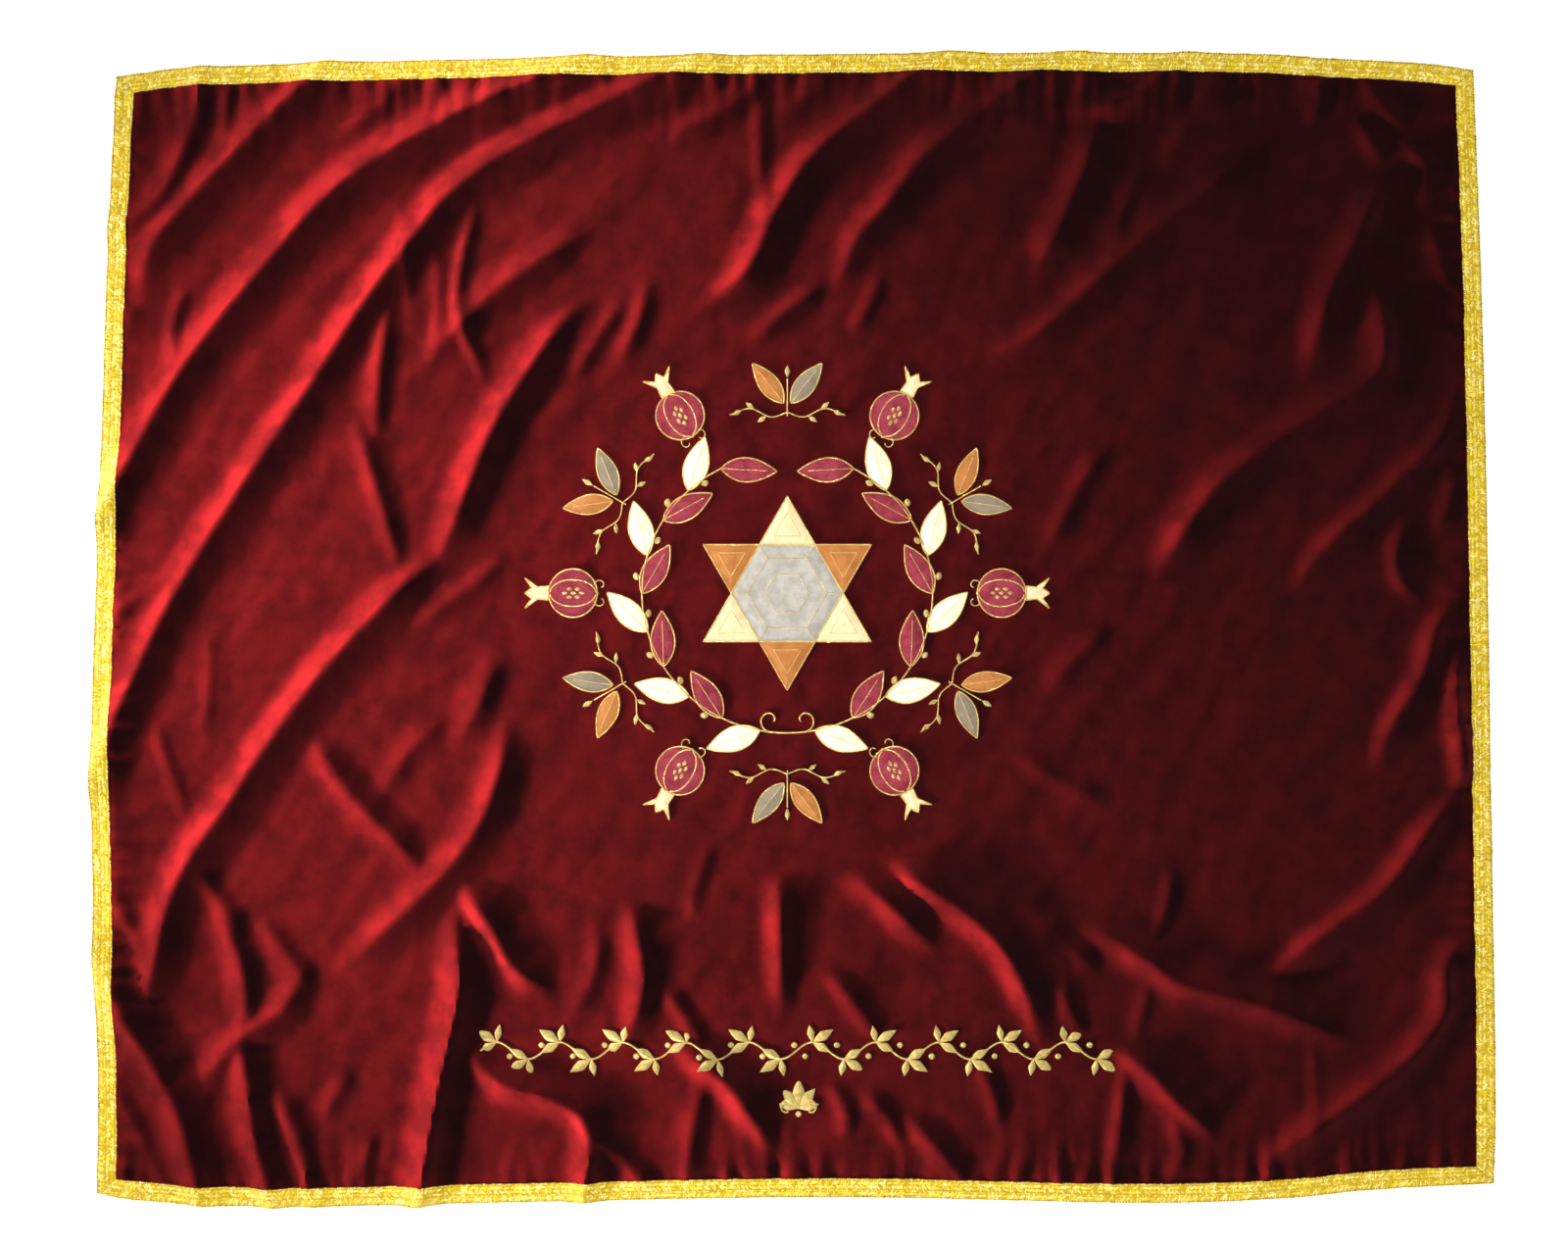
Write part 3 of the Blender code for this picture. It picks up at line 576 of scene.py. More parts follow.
class NodeWriter:
    """Writes nodes into a tree."""

    def __init__(self, tree):
        self.tree = tree

    def link(self, socket, target):
        """Links an output to an input."""
        self.tree.links.new(socket, target)

    def node(self, kind, inputs=None, **settings):
        """A new node. Each input takes a value, or a socket to link from."""
        made = self.tree.nodes.new(kind)
        for name, value in settings.items():
            setattr(made, name, value)
        for key, value in (inputs or {}).items():
            socket = socket_of(made.inputs, key)
            if isinstance(value, bpy.types.NodeSocket):
                self.link(value, socket)
            else:
                socket.default_value = value
        return made

    def __call__(self, kind, inputs=None, key=None, **settings):
        """A new node's output of this name, or its first shown one."""
        outputs = self.node(kind, inputs, **settings).outputs
        if key is not None:
            return socket_of(outputs, key)
        return [socket for socket in outputs if socket.enabled][0]

    def math(self, operation, *values):
        """The result of a Math node."""
        return self("ShaderNodeMath", dict(enumerate(values)), operation=operation)

    def scaled(self, vector, amount):
        """A vector times an amount."""
        return self("ShaderNodeVectorMath", {0: vector, "Scale": amount}, operation="SCALE")

    def attribute(self, name, kind):
        """The value of an attribute in a geometry tree."""
        return self("GeometryNodeInputNamedAttribute", {"Name": name}, data_type=kind)

    def stored(self, geometry, name, kind, domain, value):
        """The geometry with an attribute written on it."""
        inputs = {"Geometry": geometry, "Name": name, "Value": value}
        return self("GeometryNodeStoreNamedAttribute", inputs, data_type=kind, domain=domain)

    def thread_marked(self, geometry):
        """The geometry with each point's place in it kept, for the ribs of its thread."""
        place = self("GeometryNodeInputPosition")
        return self.stored(geometry, "thread", "FLOAT_VECTOR", "POINT", place)

    def random_vector(self, reach, seed):
        """A random vector for each point, whose parts go to the reach on both sides of 0."""
        inputs = {"Min": tuple(-part for part in reach), "Max": reach, "Seed": seed}
        return self("FunctionNodeRandomValue", inputs, data_type="FLOAT_VECTOR")

    def uneven_size(self, amount, seed):
        """A random scale for each point, which differs from 1 by the amount at most."""
        spread = self.scaled(self.random_vector((1, 1, 1), seed), amount)
        return self("ShaderNodeVectorMath", {0: spread, 1: (1, 1, 1)}, operation="ADD")

    def facing_turn(self, pointing):
        """A rotation whose Z looks along the attribute facing and whose X points as given."""
        facing = self.attribute("facing", "FLOAT_VECTOR")
        upright = self("FunctionNodeAlignRotationToVector", {"Vector": facing}, axis="Z")
        return self("FunctionNodeAlignRotationToVector", {"Rotation": upright, "Vector": pointing},
                    axis="X", pivot_axis="Z")


FLOAT = "NodeSocketFloat"
COLOUR = "NodeSocketColor"
GEOMETRY = "NodeSocketGeometry"
SOCKET_KINDS = {float: FLOAT, int: "NodeSocketInt", tuple: COLOUR}


def start_tree(name, kind, inputs, outputs):
    """A node group: its writer, what its inputs give, and what its end takes.

    Each input has its first value, or the kind of its socket where it has none.
    """
    tree = bpy.data.node_groups.new(name, kind)
    for label, value in inputs.items():
        bare = isinstance(value, str)
        socket_kind = value if bare else SOCKET_KINDS[type(value)]
        socket = tree.interface.new_socket(label, in_out="INPUT", socket_type=socket_kind)
        if not bare:
            socket.default_value = value
    for label, socket_kind in outputs.items():
        tree.interface.new_socket(label, in_out="OUTPUT", socket_type=socket_kind)
    given = tree.nodes.new("NodeGroupInput").outputs
    return NodeWriter(tree), given, tree.nodes.new("NodeGroupOutput").inputs


def start_shaper(name, inputs):
    """A geometry tree that takes a geometry, these inputs and a material."""
    inputs = {"Geometry": GEOMETRY, **inputs, "Material": "NodeSocketMaterial"}
    return start_tree(name, "GeometryNodeTree", inputs, {"Geometry": GEOMETRY})


def end_shaper(write, given, end, geometry):
    """The geometry tree, which hands out this geometry in its material."""
    real = write("GeometryNodeRealizeInstances", {"Geometry": geometry})
    coloured = write("GeometryNodeSetMaterial", {"Geometry": real, "Material": given["Material"]})
    write.link(coloured, end["Geometry"])
    return write.tree


def shaped(made, tree, values):
    """Runs a geometry tree on an object with these input values and keeps the plain mesh."""
    modifier = made.modifiers.new("shape", "NODES")
    modifier.node_group = tree
    for item in tree.interface.items_tree:
        if item.item_type == "SOCKET" and item.in_out == "INPUT" and item.name in values:
            modifier[item.identifier] = values[item.name]
    graph = bpy.context.evaluated_depsgraph_get()
    graph.update()
    mesh = bpy.data.meshes.new_from_object(made.evaluated_get(graph), preserve_all_data_layers=True,
                                           depsgraph=graph)
    plain_start = made.data
    made.modifiers.remove(modifier)
    made.data = mesh
    mesh.name = made.name
    bpy.data.meshes.remove(plain_start)
    return made


# How far a braid's threads lean at most before their unevenness, the sides and rings of a bundle
# and of a bead, and the sides of a loop and of its thread.
BRAID_TILT = (1, 1, 1.5)
BUNDLE_CELLS = (6, 4)
BEAD_CELLS = (5, 3)
LOOP_SIDES = 8
LOOP_THREAD_SIDES = 4
LOOP_RADIUS = 1.35 * MM
LOOP_THREAD = 0.42 * MM
BEAD_LONG = 2.4 * MM
# The two rows of beads: width and height as shares of their length, and their turn in radians.
INNER_BEADS = (0.9, 0.6, 0.5)
EDGE_BEADS = (0.8, 0.5, -0.6)
TONE_AND_GLINT_SEED = 11


def braid_tree():
    """Metal threads laid along six lanes of a braid: loops, slanting bundles, and two rows of beads.

    The object's mesh holds the lanes as lines, with a lane number from 0, and the braid's ground
    as faces, whose lane is -1.
    """
    write, given, end = start_shaper("Woven braid", {
        "Row Pitch": 2.3 * MM,
        "Loop Pitch": 3.2 * MM,
        "Bundle Length": 6.2 * MM,
        "Bundle Width": 2.2 * MM,
        "Bundle Height": 1.5 * MM,
        "Slant": math.radians(36),
        "Unevenness": 0.42,
        "Seed": 1,
    })
    lane = write.attribute("lane", "INT")
    on_lines = write("FunctionNodeCompare", {"A": lane, "B": 0}, data_type="INT",
                     operation="GREATER_EQUAL")
    curves = write("GeometryNodeMeshToCurve", {"Mesh": given["Geometry"], "Selection": on_lines})
    ground = write("GeometryNodeDeleteGeometry", {"Geometry": given["Geometry"], "Selection": on_lines},
                   domain="POINT")
    rows, loops = [
        write("GeometryNodeResampleCurve", {"Curve": curves, "Length": given[pitch]}, mode="LENGTH")
        for pitch in ("Row Pitch", "Loop Pitch")
    ]
    turn = write.facing_turn(write("GeometryNodeInputTangent"))
    tilt = write.scaled(write.random_vector(BRAID_TILT, given["Seed"]), given["Unevenness"])
    tilted = write("FunctionNodeRotateRotation", {"Rotation": turn, "Rotate By": tilt},
                   rotation_space="LOCAL")
    size = write.uneven_size(given["Unevenness"], given["Seed"])

    def bead(length, width, height, cells, turned):
        """Threads as a closed bead along Y, turned about Z."""
        inputs = {"Segments": cells[0], "Rings": cells[1], "Radius": 0.5}
        ball = write("GeometryNodeMeshUVSphere", inputs)
        lying = write("GeometryNodeTransform", {"Geometry": ball, "Rotation": (math.radians(90), 0.0, 0.0)})
        scale = write("ShaderNodeCombineXYZ", {"X": width, "Y": length, "Z": height})
        sized = write("GeometryNodeTransform", {"Geometry": lying, "Scale": scale})
        angle = write("ShaderNodeCombineXYZ", {"Z": turned})
        return write("GeometryNodeTransform", {"Geometry": write.thread_marked(sized), "Rotation": angle})

    def loop():
        """A small round loop of thread."""
        ring, section = [
            write("GeometryNodeCurvePrimitiveCircle", {"Resolution": sides, "Radius": radius})
            for sides, radius in ((LOOP_SIDES, LOOP_RADIUS), (LOOP_THREAD_SIDES, LOOP_THREAD))
        ]
        swept = write("GeometryNodeCurveToMesh", {"Curve": ring, "Profile Curve": section})
        return write.thread_marked(swept)

    def laid(number, points, unit):
        """The unit on every point of one lane, each with a random value that picks its tone; the highest
        values give a painted glint.
        """
        chosen = write("FunctionNodeCompare", {"A": lane, "B": number}, data_type="INT", operation="EQUAL")
        units = write("GeometryNodeInstanceOnPoints", {
            "Points": points, "Selection": chosen, "Instance": unit, "Rotation": tilted, "Scale": size,
        })
        shade = write("FunctionNodeRandomValue", {"Min": 0.0, "Max": 1.0, "Seed": number + TONE_AND_GLINT_SEED},
                      data_type="FLOAT")
        return write.stored(units, "shade", "FLOAT", "INSTANCE", shade)

    def round_bead(width, height, turned):
        """A short bead, whose width and height are shares of its length."""
        return bead(BEAD_LONG, BEAD_LONG * width, BEAD_LONG * height, BEAD_CELLS, turned)

    bundle = (given["Bundle Length"], given["Bundle Width"], given["Bundle Height"], BUNDLE_CELLS)
    slant = given["Slant"]
    other_slant = write.math("MULTIPLY", slant, -1.0)
    units = [
        loop(),
        bead(*bundle, other_slant),
        round_bead(*INNER_BEADS),
        bead(*bundle, slant),
        bead(*bundle, other_slant),
        round_bead(*EDGE_BEADS),
    ]
    join = write.node("GeometryNodeJoinGeometry")
    write.link(ground, join.inputs[0])
    for number, unit in enumerate(units):
        write.link(laid(number, rows if number else loops, unit), join.inputs[0])
    return end_shaper(write, given, end, join.outputs[0])


def satin_tree():
    """A satin-stitched line swept along each line of the object's mesh: a low rounded ridge."""
    write, given, end = start_shaper("Satin line", {
        "Width": 2.4 * MM,
        "Height": 1.5 * MM,
        "Step": 1.5 * MM,
        "Unevenness": 0.12 * MM,
    })
    curves = write("GeometryNodeMeshToCurve", {"Mesh": given["Geometry"]})
    even = write("GeometryNodeResampleCurve", {"Curve": curves, "Length": given["Step"]}, mode="LENGTH")
    upright = write("GeometryNodeSetCurveNormal", {"Curve": even}, mode="Z_UP")
    along = write("GeometryNodeSplineParameter", key="Length")
    measured = write.stored(upright, "along", "FLOAT", "POINT", along)
    circle = write("GeometryNodeCurvePrimitiveCircle", {"Resolution": 8, "Radius": 0.5})
    around = write("GeometryNodeSplineParameter", key="Factor")
    marked = write.stored(circle, "around", "FLOAT", "POINT", around)
    scale = write("ShaderNodeCombineXYZ", {"X": given["Height"], "Y": given["Width"], "Z": 1.0})
    section = write("GeometryNodeTransform", {"Geometry": marked, "Scale": scale})
    swept = write("GeometryNodeCurveToMesh", {"Curve": measured, "Profile Curve": section, "Fill Caps": True})
    uneven = write("ShaderNodeTexNoise", {"Scale": 240.0, "Detail": 1.0}, key="Fac")
    amount = write.math("MULTIPLY", write.math("SUBTRACT", uneven, 0.5), given["Unevenness"])
    offset = write.scaled(write("GeometryNodeInputNormal"), amount)
    moved = write("GeometryNodeSetPosition", {"Geometry": swept, "Offset": offset})
    return end_shaper(write, given, end, moved)


def stitched_leaf_tree():
    """A pointed leaf of raised satin stitch on every point of the object's mesh.

    Each point has the attributes facing, pointing and size, the leaf's length.
    """
    write, given, end = start_shaper("Stitched leaves", {
        "Broadness": 0.42,
        "Fullness": 0.13,
        "Point": 0.55,
        "Unevenness": 0.06,
        "Seed": 5,
    })
    ball = write("GeometryNodeMeshUVSphere", {"Segments": 12, "Rings": 12, "Radius": 0.5})
    on_side = write("GeometryNodeTransform", {"Geometry": ball, "Rotation": (0.0, math.radians(90), 0.0)})
    place = write("GeometryNodeInputPosition")
    x, y, z = write.node("ShaderNodeSeparateXYZ", {"Vector": place}).outputs
    away = write.math("SUBTRACT", 1.0, write.math("ABSOLUTE", write.math("MULTIPLY", x, 2.0)))
    taper = write.math("POWER", write.math("MAXIMUM", away, 0.0001), given["Point"])
    wide, high = [
        write.math("MULTIPLY", write.math("MULTIPLY", part, given[share]), taper)
        for part, share in ((y, "Broadness"), (z, "Fullness"))
    ]
    leaf_place = write("ShaderNodeCombineXYZ", {"X": write.math("ADD", x, 0.5), "Y": wide, "Z": high})
    leaf = write("GeometryNodeSetPosition", {"Geometry": on_side, "Position": leaf_place})
    turn = write.facing_turn(write.attribute("pointing", "FLOAT_VECTOR"))
    even_size = write.uneven_size(given["Unevenness"], given["Seed"])
    leaves = write("GeometryNodeInstanceOnPoints", {
        "Points": write("GeometryNodeMeshToPoints", {"Mesh": given["Geometry"]}),
        "Instance": write.stored(leaf, "thread", "FLOAT_VECTOR", "POINT", place),
        "Rotation": turn,
        "Scale": write.scaled(even_size, write.attribute("size", "FLOAT")),
    })
    return end_shaper(write, given, end, leaves)


# Effects that several materials share.


def noise_of_size(write, size, **settings):
    """Noise whose lumps have this size in metres on the piece."""
    place = write("ShaderNodeTexCoord", key="Object")
    inputs = {"Vector": place, "Scale": write.math("DIVIDE", 1.0, size)}
    inputs.update((name.capitalize(), value) for name, value in settings.items())
    return write("ShaderNodeTexNoise", inputs, key="Fac")


def mottle_group():
    """A colour that drifts between two tones in soft patches."""
    write, given, end = start_tree("Mottled colour", "ShaderNodeTree", {
        "Colour": (0.5, 0.5, 0.5, 1.0),
        "Other Colour": (0.4, 0.4, 0.4, 1.0),
        "Patch Size": 0.03,
        "Amount": 1.0,
    }, {"Colour": COLOUR, "Mask": FLOAT})
    soft = noise_of_size(write, given["Patch Size"], detail=4.0, roughness=0.6)
    mask = write("ShaderNodeMapRange", {"Value": soft, "From Min": 0.36, "From Max": 0.66},
                 interpolation_type="SMOOTHSTEP")
    amount = write.math("MULTIPLY", mask, given["Amount"])
    mixed = write("ShaderNodeMix", {"Factor": amount, "A": given["Colour"], "B": given["Other Colour"]},
                  data_type="RGBA")
    write.link(mixed, end["Colour"])
    write.link(mask, end["Mask"])
    return write.tree


def grain_group():
    """A height of fine grain laid over broader creases."""
    write, given, end = start_tree("Grain", "ShaderNodeTree", {
        "Grain Size": 0.001,
        "Crease Size": 0.01,
        "Crease Share": 0.5,
    }, {"Height": FLOAT})
    fine = noise_of_size(write, given["Grain Size"], detail=2.0)
    broad = noise_of_size(write, given["Crease Size"], detail=3.0, distortion=1.2)
    mixed = write("ShaderNodeMix", {"Factor": given["Crease Share"], "A": fine, "B": broad},
                  data_type="FLOAT")
    write.link(mixed, end["Height"])
    return write.tree


def thread_group():
    """A height of threads that run across, made from two lengths on the piece."""
    write, given, end = start_tree("Thread ribs", "ShaderNodeTree", {
        "Along": 0.0,
        "Across": 0.0,
        "Thread": 0.0004,
        "Slant": 0.0006,
    }, {"Height": FLOAT})
    slanted = write.math("ADD", given["Along"], write.math("MULTIPLY", given["Across"], given["Slant"]))
    turns = write.math("MULTIPLY", write.math("DIVIDE", slanted, given["Thread"]), math.pi)
    write.link(write.math("ABSOLUTE", write.math("SINE", turns)), end["Height"])
    return write.tree


GROUPS = {}


def shared_group(maker):
    """A shared effect, made on its first use."""
    if maker not in GROUPS:
        GROUPS[maker] = maker()
    return GROUPS[maker]


class FinishWriter(NodeWriter):
    """Writes a material round its Principled shader. Values are for the shader's own sockets."""

    def __init__(self, name, **values):
        self.material = bpy.data.materials.new(name)
        self.material.use_nodes = True
        super().__init__(self.material.node_tree)
        self.shader = self.tree.nodes["Principled BSDF"]
        for key, value in values.items():
            self.shader.inputs[key.replace("_", " ")].default_value = value

    def group(self, maker, inputs):
        """A shared effect with its own values."""
        return self.node("ShaderNodeGroup", inputs, node_tree=shared_group(maker)).outputs

    def mottled(self, colour, other, patch, amount=1.0):
        """Colours the shader in two tones. Hands back 1 where the other tone lies and 0 elsewhere."""
        mottle = self.group(mottle_group, {
            "Colour": colour, "Other Colour": other, "Patch Size": patch, "Amount": amount,
        })
        self.link(mottle["Colour"], self.shader.inputs["Base Color"])
        return mottle["Mask"]

    def roughness(self, value, low, high):
        """Roughness that goes from low, where the value is 0, to high, where it is 1."""
        rough = self("ShaderNodeMapRange", {"Value": value, "To Min": low, "To Max": high})
        self.link(rough, self.shader.inputs["Roughness"])

    def grain(self, fine, broad, broad_share):
        """A height of fine grain and broader creases, with their sizes in metres."""
        inputs = {"Grain Size": fine, "Crease Size": broad, "Crease Share": broad_share}
        return self.group(grain_group, inputs)["Height"]

    def ribs(self, along, across, thread, slant):
        """A height of threads that run across."""
        inputs = {"Along": along, "Across": across, "Thread": thread, "Slant": slant}
        return self.group(thread_group, inputs)["Height"]

    def thread_place(self):
        """The parts X, Y and Z of a point's place in its bundle or leaf."""
        place = self("ShaderNodeAttribute", key="Vector", attribute_name="thread")
        return self.node("ShaderNodeSeparateXYZ", {"Vector": place}).outputs

    def bump(self, height, depth, strength):
        """Bump over what bump the shader has already. The depth is in metres."""
        inputs = {"Height": height, "Distance": depth, "Strength": strength}
        normal = self.shader.inputs["Normal"]
        if normal.is_linked:
            inputs["Normal"] = normal.links[0].from_socket
        self.link(self("ShaderNodeBump", inputs, key="Normal"), normal)


GOLD_SHEEN = (1.0, 0.85, 0.4, 1.0)


def velvet_material(colours):
    """Red velvet: a dark ground, a broad soft shine where the pile turns to the light."""
    write = FinishWriter("red velvet", Metallic=0.985, Sheen_Weight=0.014, Sheen_Roughness=0.9,
                         Sheen_Tint=(0.9, 0.8, 0.9, 1.0))
    mask = write.mottled(colours.velvet, colours.velvet_deep, patch=0.035, amount=0.9)
    write.roughness(mask, low=0.66, high=0.74)
    nap = write.grain(fine=0.02, broad=0.05, broad_share=0.5)
    write.bump(nap, depth=3.0 * MM, strength=0.35)
    pile = write.grain(fine=0.0008, broad=0.002, broad_share=0.4)
    write.bump(pile, depth=0.25 * MM, strength=0.8)
    return write.material


def satin_material(colours):
    """Metal thread, with ribs from the attributes along and around."""
    write = FinishWriter("gold satin thread", Metallic=0.5, Sheen_Weight=0.15, Sheen_Tint=GOLD_SHEEN)
    mask = write.mottled(colours.satin, colours.satin_deep, patch=0.004, amount=0.8)
    write.roughness(mask, low=0.34, high=0.46)
    along, around = [
        write("ShaderNodeAttribute", key="Fac", attribute_name=name) for name in ("along", "around")
    ]
    ribs = write.ribs(along, around, thread=0.45 * MM, slant=0.9 * MM)
    write.bump(ribs, depth=0.14 * MM, strength=0.8)
    return write.material


def satin_leaf_material(colours):
    """Satin-stitched leaves: threads slant away from the middle line."""
    write = FinishWriter("gold satin leaf", Metallic=0.5, Sheen_Weight=0.15)
    write.mottled(colours.satin, colours.satin_deep, patch=0.004, amount=0.8)
    x, y, _ = write.thread_place()
    ribs = write.ribs(x, write.math("ABSOLUTE", y), thread=0.035, slant=0.6)
    write.roughness(ribs, low=0.46, high=0.34)
    write.bump(ribs, depth=0.2 * MM, strength=0.8)
    return write.material


def braid_material(colours):
    """Flat metal threads wound into bundles, each a random tone from deep to light; the light end is a
    painted glint.
    """
    write = FinishWriter("woven gold braid", Metallic=0.12, Sheen_Weight=0.15, Sheen_Tint=GOLD_SHEEN)
    shade = write("ShaderNodeAttribute", key="Fac", attribute_name="shade")
    tones = write.node("ShaderNodeValToRGB", {"Fac": shade})
    stops = tones.color_ramp.elements
    stops[0].color = colours.braid_deep
    # Painted glint: the lightest stop is a near-white gold that stands in for the sparkle of metal thread.
    stops[1].color = colours.braid_painted_glint
    stops.new(0.45).color = colours.braid
    write.mottled(tones.outputs["Color"], colours.braid_deep, patch=0.0045, amount=0.5)
    write.roughness(shade, low=0.32, high=0.46)
    x, y, _ = write.thread_place()
    ribs = write.ribs(x, y, thread=0.42 * MM, slant=0.12)
    write.bump(ribs, depth=0.12 * MM, strength=0.7)
    return write.material


Leather = namedtuple("Leather", "deep metallic roughness crinkle")
LEATHERS = {
    "cream": Leather((0.84, 0.74, 0.46, 1.0), 0.0, 0.48, 0.5 * MM),
    "burgundy": Leather((0.26, 0.022, 0.04, 1.0), 0.45, 0.3, 1.0 * MM),
    "beige": Leather((0.66, 0.52, 0.28, 1.0), 0.0, 0.56, 0.4 * MM),
    "tan": Leather((0.34, 0.12, 0.03, 1.0), 0.0, 0.56, 0.4 * MM),
    "taupe": Leather((0.19, 0.15, 0.11, 1.0), 0.0, 0.56, 0.4 * MM),
    "silver": Leather((0.44, 0.41, 0.36, 1.0), 0.35, 0.38, 0.6 * MM),
}


def leather_material(name, colours):
    """Thin leather: soft mottling, fine grain and broader crinkles, with a foil shine on some."""
    leather = LEATHERS[name]
    write = FinishWriter(f"{name} leather", Metallic=leather.metallic, Coat_Weight=0.12,
                         Coat_Roughness=0.35)
    mask = write.mottled(getattr(colours, name), leather.deep, patch=0.011, amount=0.75)
    write.roughness(mask, low=leather.roughness - 0.06, high=leather.roughness + 0.1)
    crinkles = write.grain(fine=0.0011, broad=0.0062, broad_share=0.75)
    write.bump(crinkles, depth=leather.crinkle, strength=0.8)
    return write.material


# Patches.


def on_ellipse(half, angle):
    """The point at this angle on an ellipse about the middle of the design."""
    return (MIDDLE[0] + half[0] * math.cos(angle), MIDDLE[1] + half[1] * math.sin(angle))


def placed(shape, place, angle):
    """A shape drawn along +X from the origin, turned by the angle and moved to its place."""
    cos, sin = math.cos(angle), math.sin(angle)
    return [(place[0] + x * cos - y * sin, place[1] + x * sin + y * cos) for x, y in shape]


def leaf_shape(size):
    """A pointed leaf from the origin along +X, fullest nearer its foot."""
    length, width = size
    upper = []
    for step in range(1, LEAF_STEPS):
        t = step / LEAF_STEPS
        upper.append((length * t, width / 2 * math.sin(math.pi * t ** LEAF_LEAN) ** LEAF_ROUND))
    return [(0.0, 0.0)] + [(x, -y) for x, y in upper] + [(length, 0.0)] + upper[::-1]


def crown_shape():
    """The three-pointed crown of a pomegranate, from its foot along +X."""
    foot, wide, tall = CROWN_FOOT / 2, CROWN_WIDE / 2, CROWN_TALL
    right = [(0.0, -foot), (tall * 0.45, -foot * 0.85), (tall, -wide), (tall * 0.7, -wide * 0.34)]
    left = [(x, -y) for x, y in reversed(right)]
    return right + [(tall, 0.0)] + left


def circle_shape(radius, sides):
    """A round patch about the origin."""
    angles = [2 * math.pi * side / sides for side in range(sides)]
    return [(radius * math.cos(angle), radius * math.sin(angle)) for angle in angles]


def finer(outline, cell):
    """The closed outline with points added so that none is further than a cell from the next."""
    points = []
    for start, end in zip(outline, outline[1:] + outline[:1]):
        count = max(1, round(math.dist(start, end) / cell))
        for step in range(count):
            share = step / count
            points.append((start[0] + (end[0] - start[0]) * share, start[1] + (end[1] - start[1]) * share))
    return points


def edge_distance(points, outline):
    """How far each point is from the closed outline."""
    outline = np.array(outline)
    nearest = np.full(len(points), np.inf)
    for start, end in zip(outline, np.roll(outline, -1, axis=0)):
        step = end - start
        share = np.clip((points - start) @ step / (step @ step), 0.0, 1.0)
        away = points - start - share[:, None] * step
        nearest = np.minimum(nearest, np.hypot(away[:, 0], away[:, 1]))
    return nearest


def patch_rise(points, outline):
    """How far a patch stands above the velvet's face at each point."""
    distance = edge_distance(points, outline)
    swell = PATCH_SWELL * (1 - np.exp(-distance / PATCH_SWELL_OVER))
    crown = PATCH_CROWN * ramp(distance / PATCH_CROWN_OVER)
    wrinkle = [noise.noise((x / PATCH_WRINKLE_SIZE, y / PATCH_WRINKLE_SIZE, 1.7)) for x, y in points]
    wrinkle = PATCH_WRINKLE * np.array(wrinkle) * ramp(distance / PATCH_WRINKLE_OVER)
    return PATCH_EDGE + swell + crown + wrinkle


# Lines of satin stitch, gathered by width.


# How finely a stitched line is drawn, how it lies over a patch's edge, in a patch and on the
# velvet, and how tall it is beside its width.
STITCH_STEP = 2 * MM
RIM_LIFT = PATCH_EDGE + 0.3 * MM
VEIN_SUNK = 0.1 * MM
STEM_LIFT = 0.5 * MM
LEAF_LIFT = 0.6 * MM
SATIN_STEP = 1.5 * MM
SATIN_TALL = 0.62


class StitchedLines:
    """Lines of embroidery that are swept together into one piece."""

    def __init__(self):
        self.points = []
        self.edges = []

    def add(self, flat, rise=STEM_LIFT, closed=False):
        """A line over the velvet. rise is its height over the velvet's face, one value or one a point."""
        flat = np.array(flat, dtype=float)
        height = cloth_height(flat) + VELVET_THICK + rise
        start = len(self.points)
        self.points += np.column_stack([flat, height]).tolist()
        self.edges += [(start + i, start + i + 1) for i in range(len(flat) - 1)]
        if closed:
            self.edges.append((start + len(flat) - 1, start))

    def add_rim(self, outline):
        """A line all round a patch, over its edge."""
        self.add(finer(outline, STITCH_STEP), RIM_LIFT, closed=True)

    def add_on_patch(self, flat, outline, sunk=VEIN_SUNK):
        """A line stitched down on a patch with this outline."""
        flat = np.array(flat, dtype=float)
        self.add(flat, patch_rise(flat, finer(outline, PATCH_CELL)) - sunk)


# What a user may change.


def colour_property(name, description, value):
    """A colour setting."""
    return bpy.props.FloatVectorProperty(name=name, description=description, subtype="COLOR", size=4,
                                         min=0.0, max=1.0, default=(*value, 1.0))


def length_property(name, description, value):
    """A length setting."""
    return bpy.props.FloatProperty(name=name, description=description, subtype="DISTANCE", unit="LENGTH",
                                   default=value, min=0.0, precision=5)


class CoverSizes(bpy.types.PropertyGroup):
    """Sizes of the cover's threads."""

    row_pitch: length_property("Braid Row Pitch", "Distance between rows of the braid", 2.3 * MM)
    loop_pitch: length_property("Braid Loop Pitch", "Distance between loops on the outer edge", 3.2 * MM)
    outline_width: length_property("Outline Width", "Width of the satin stitch round a patch", 2.5 * MM)
    stem_width: length_property("Stem Width", "Width of an embroidered stem", 2.8 * MM)
    vein_width: length_property("Vein Width", "Width of a line stitched on a patch", 1.4 * MM)


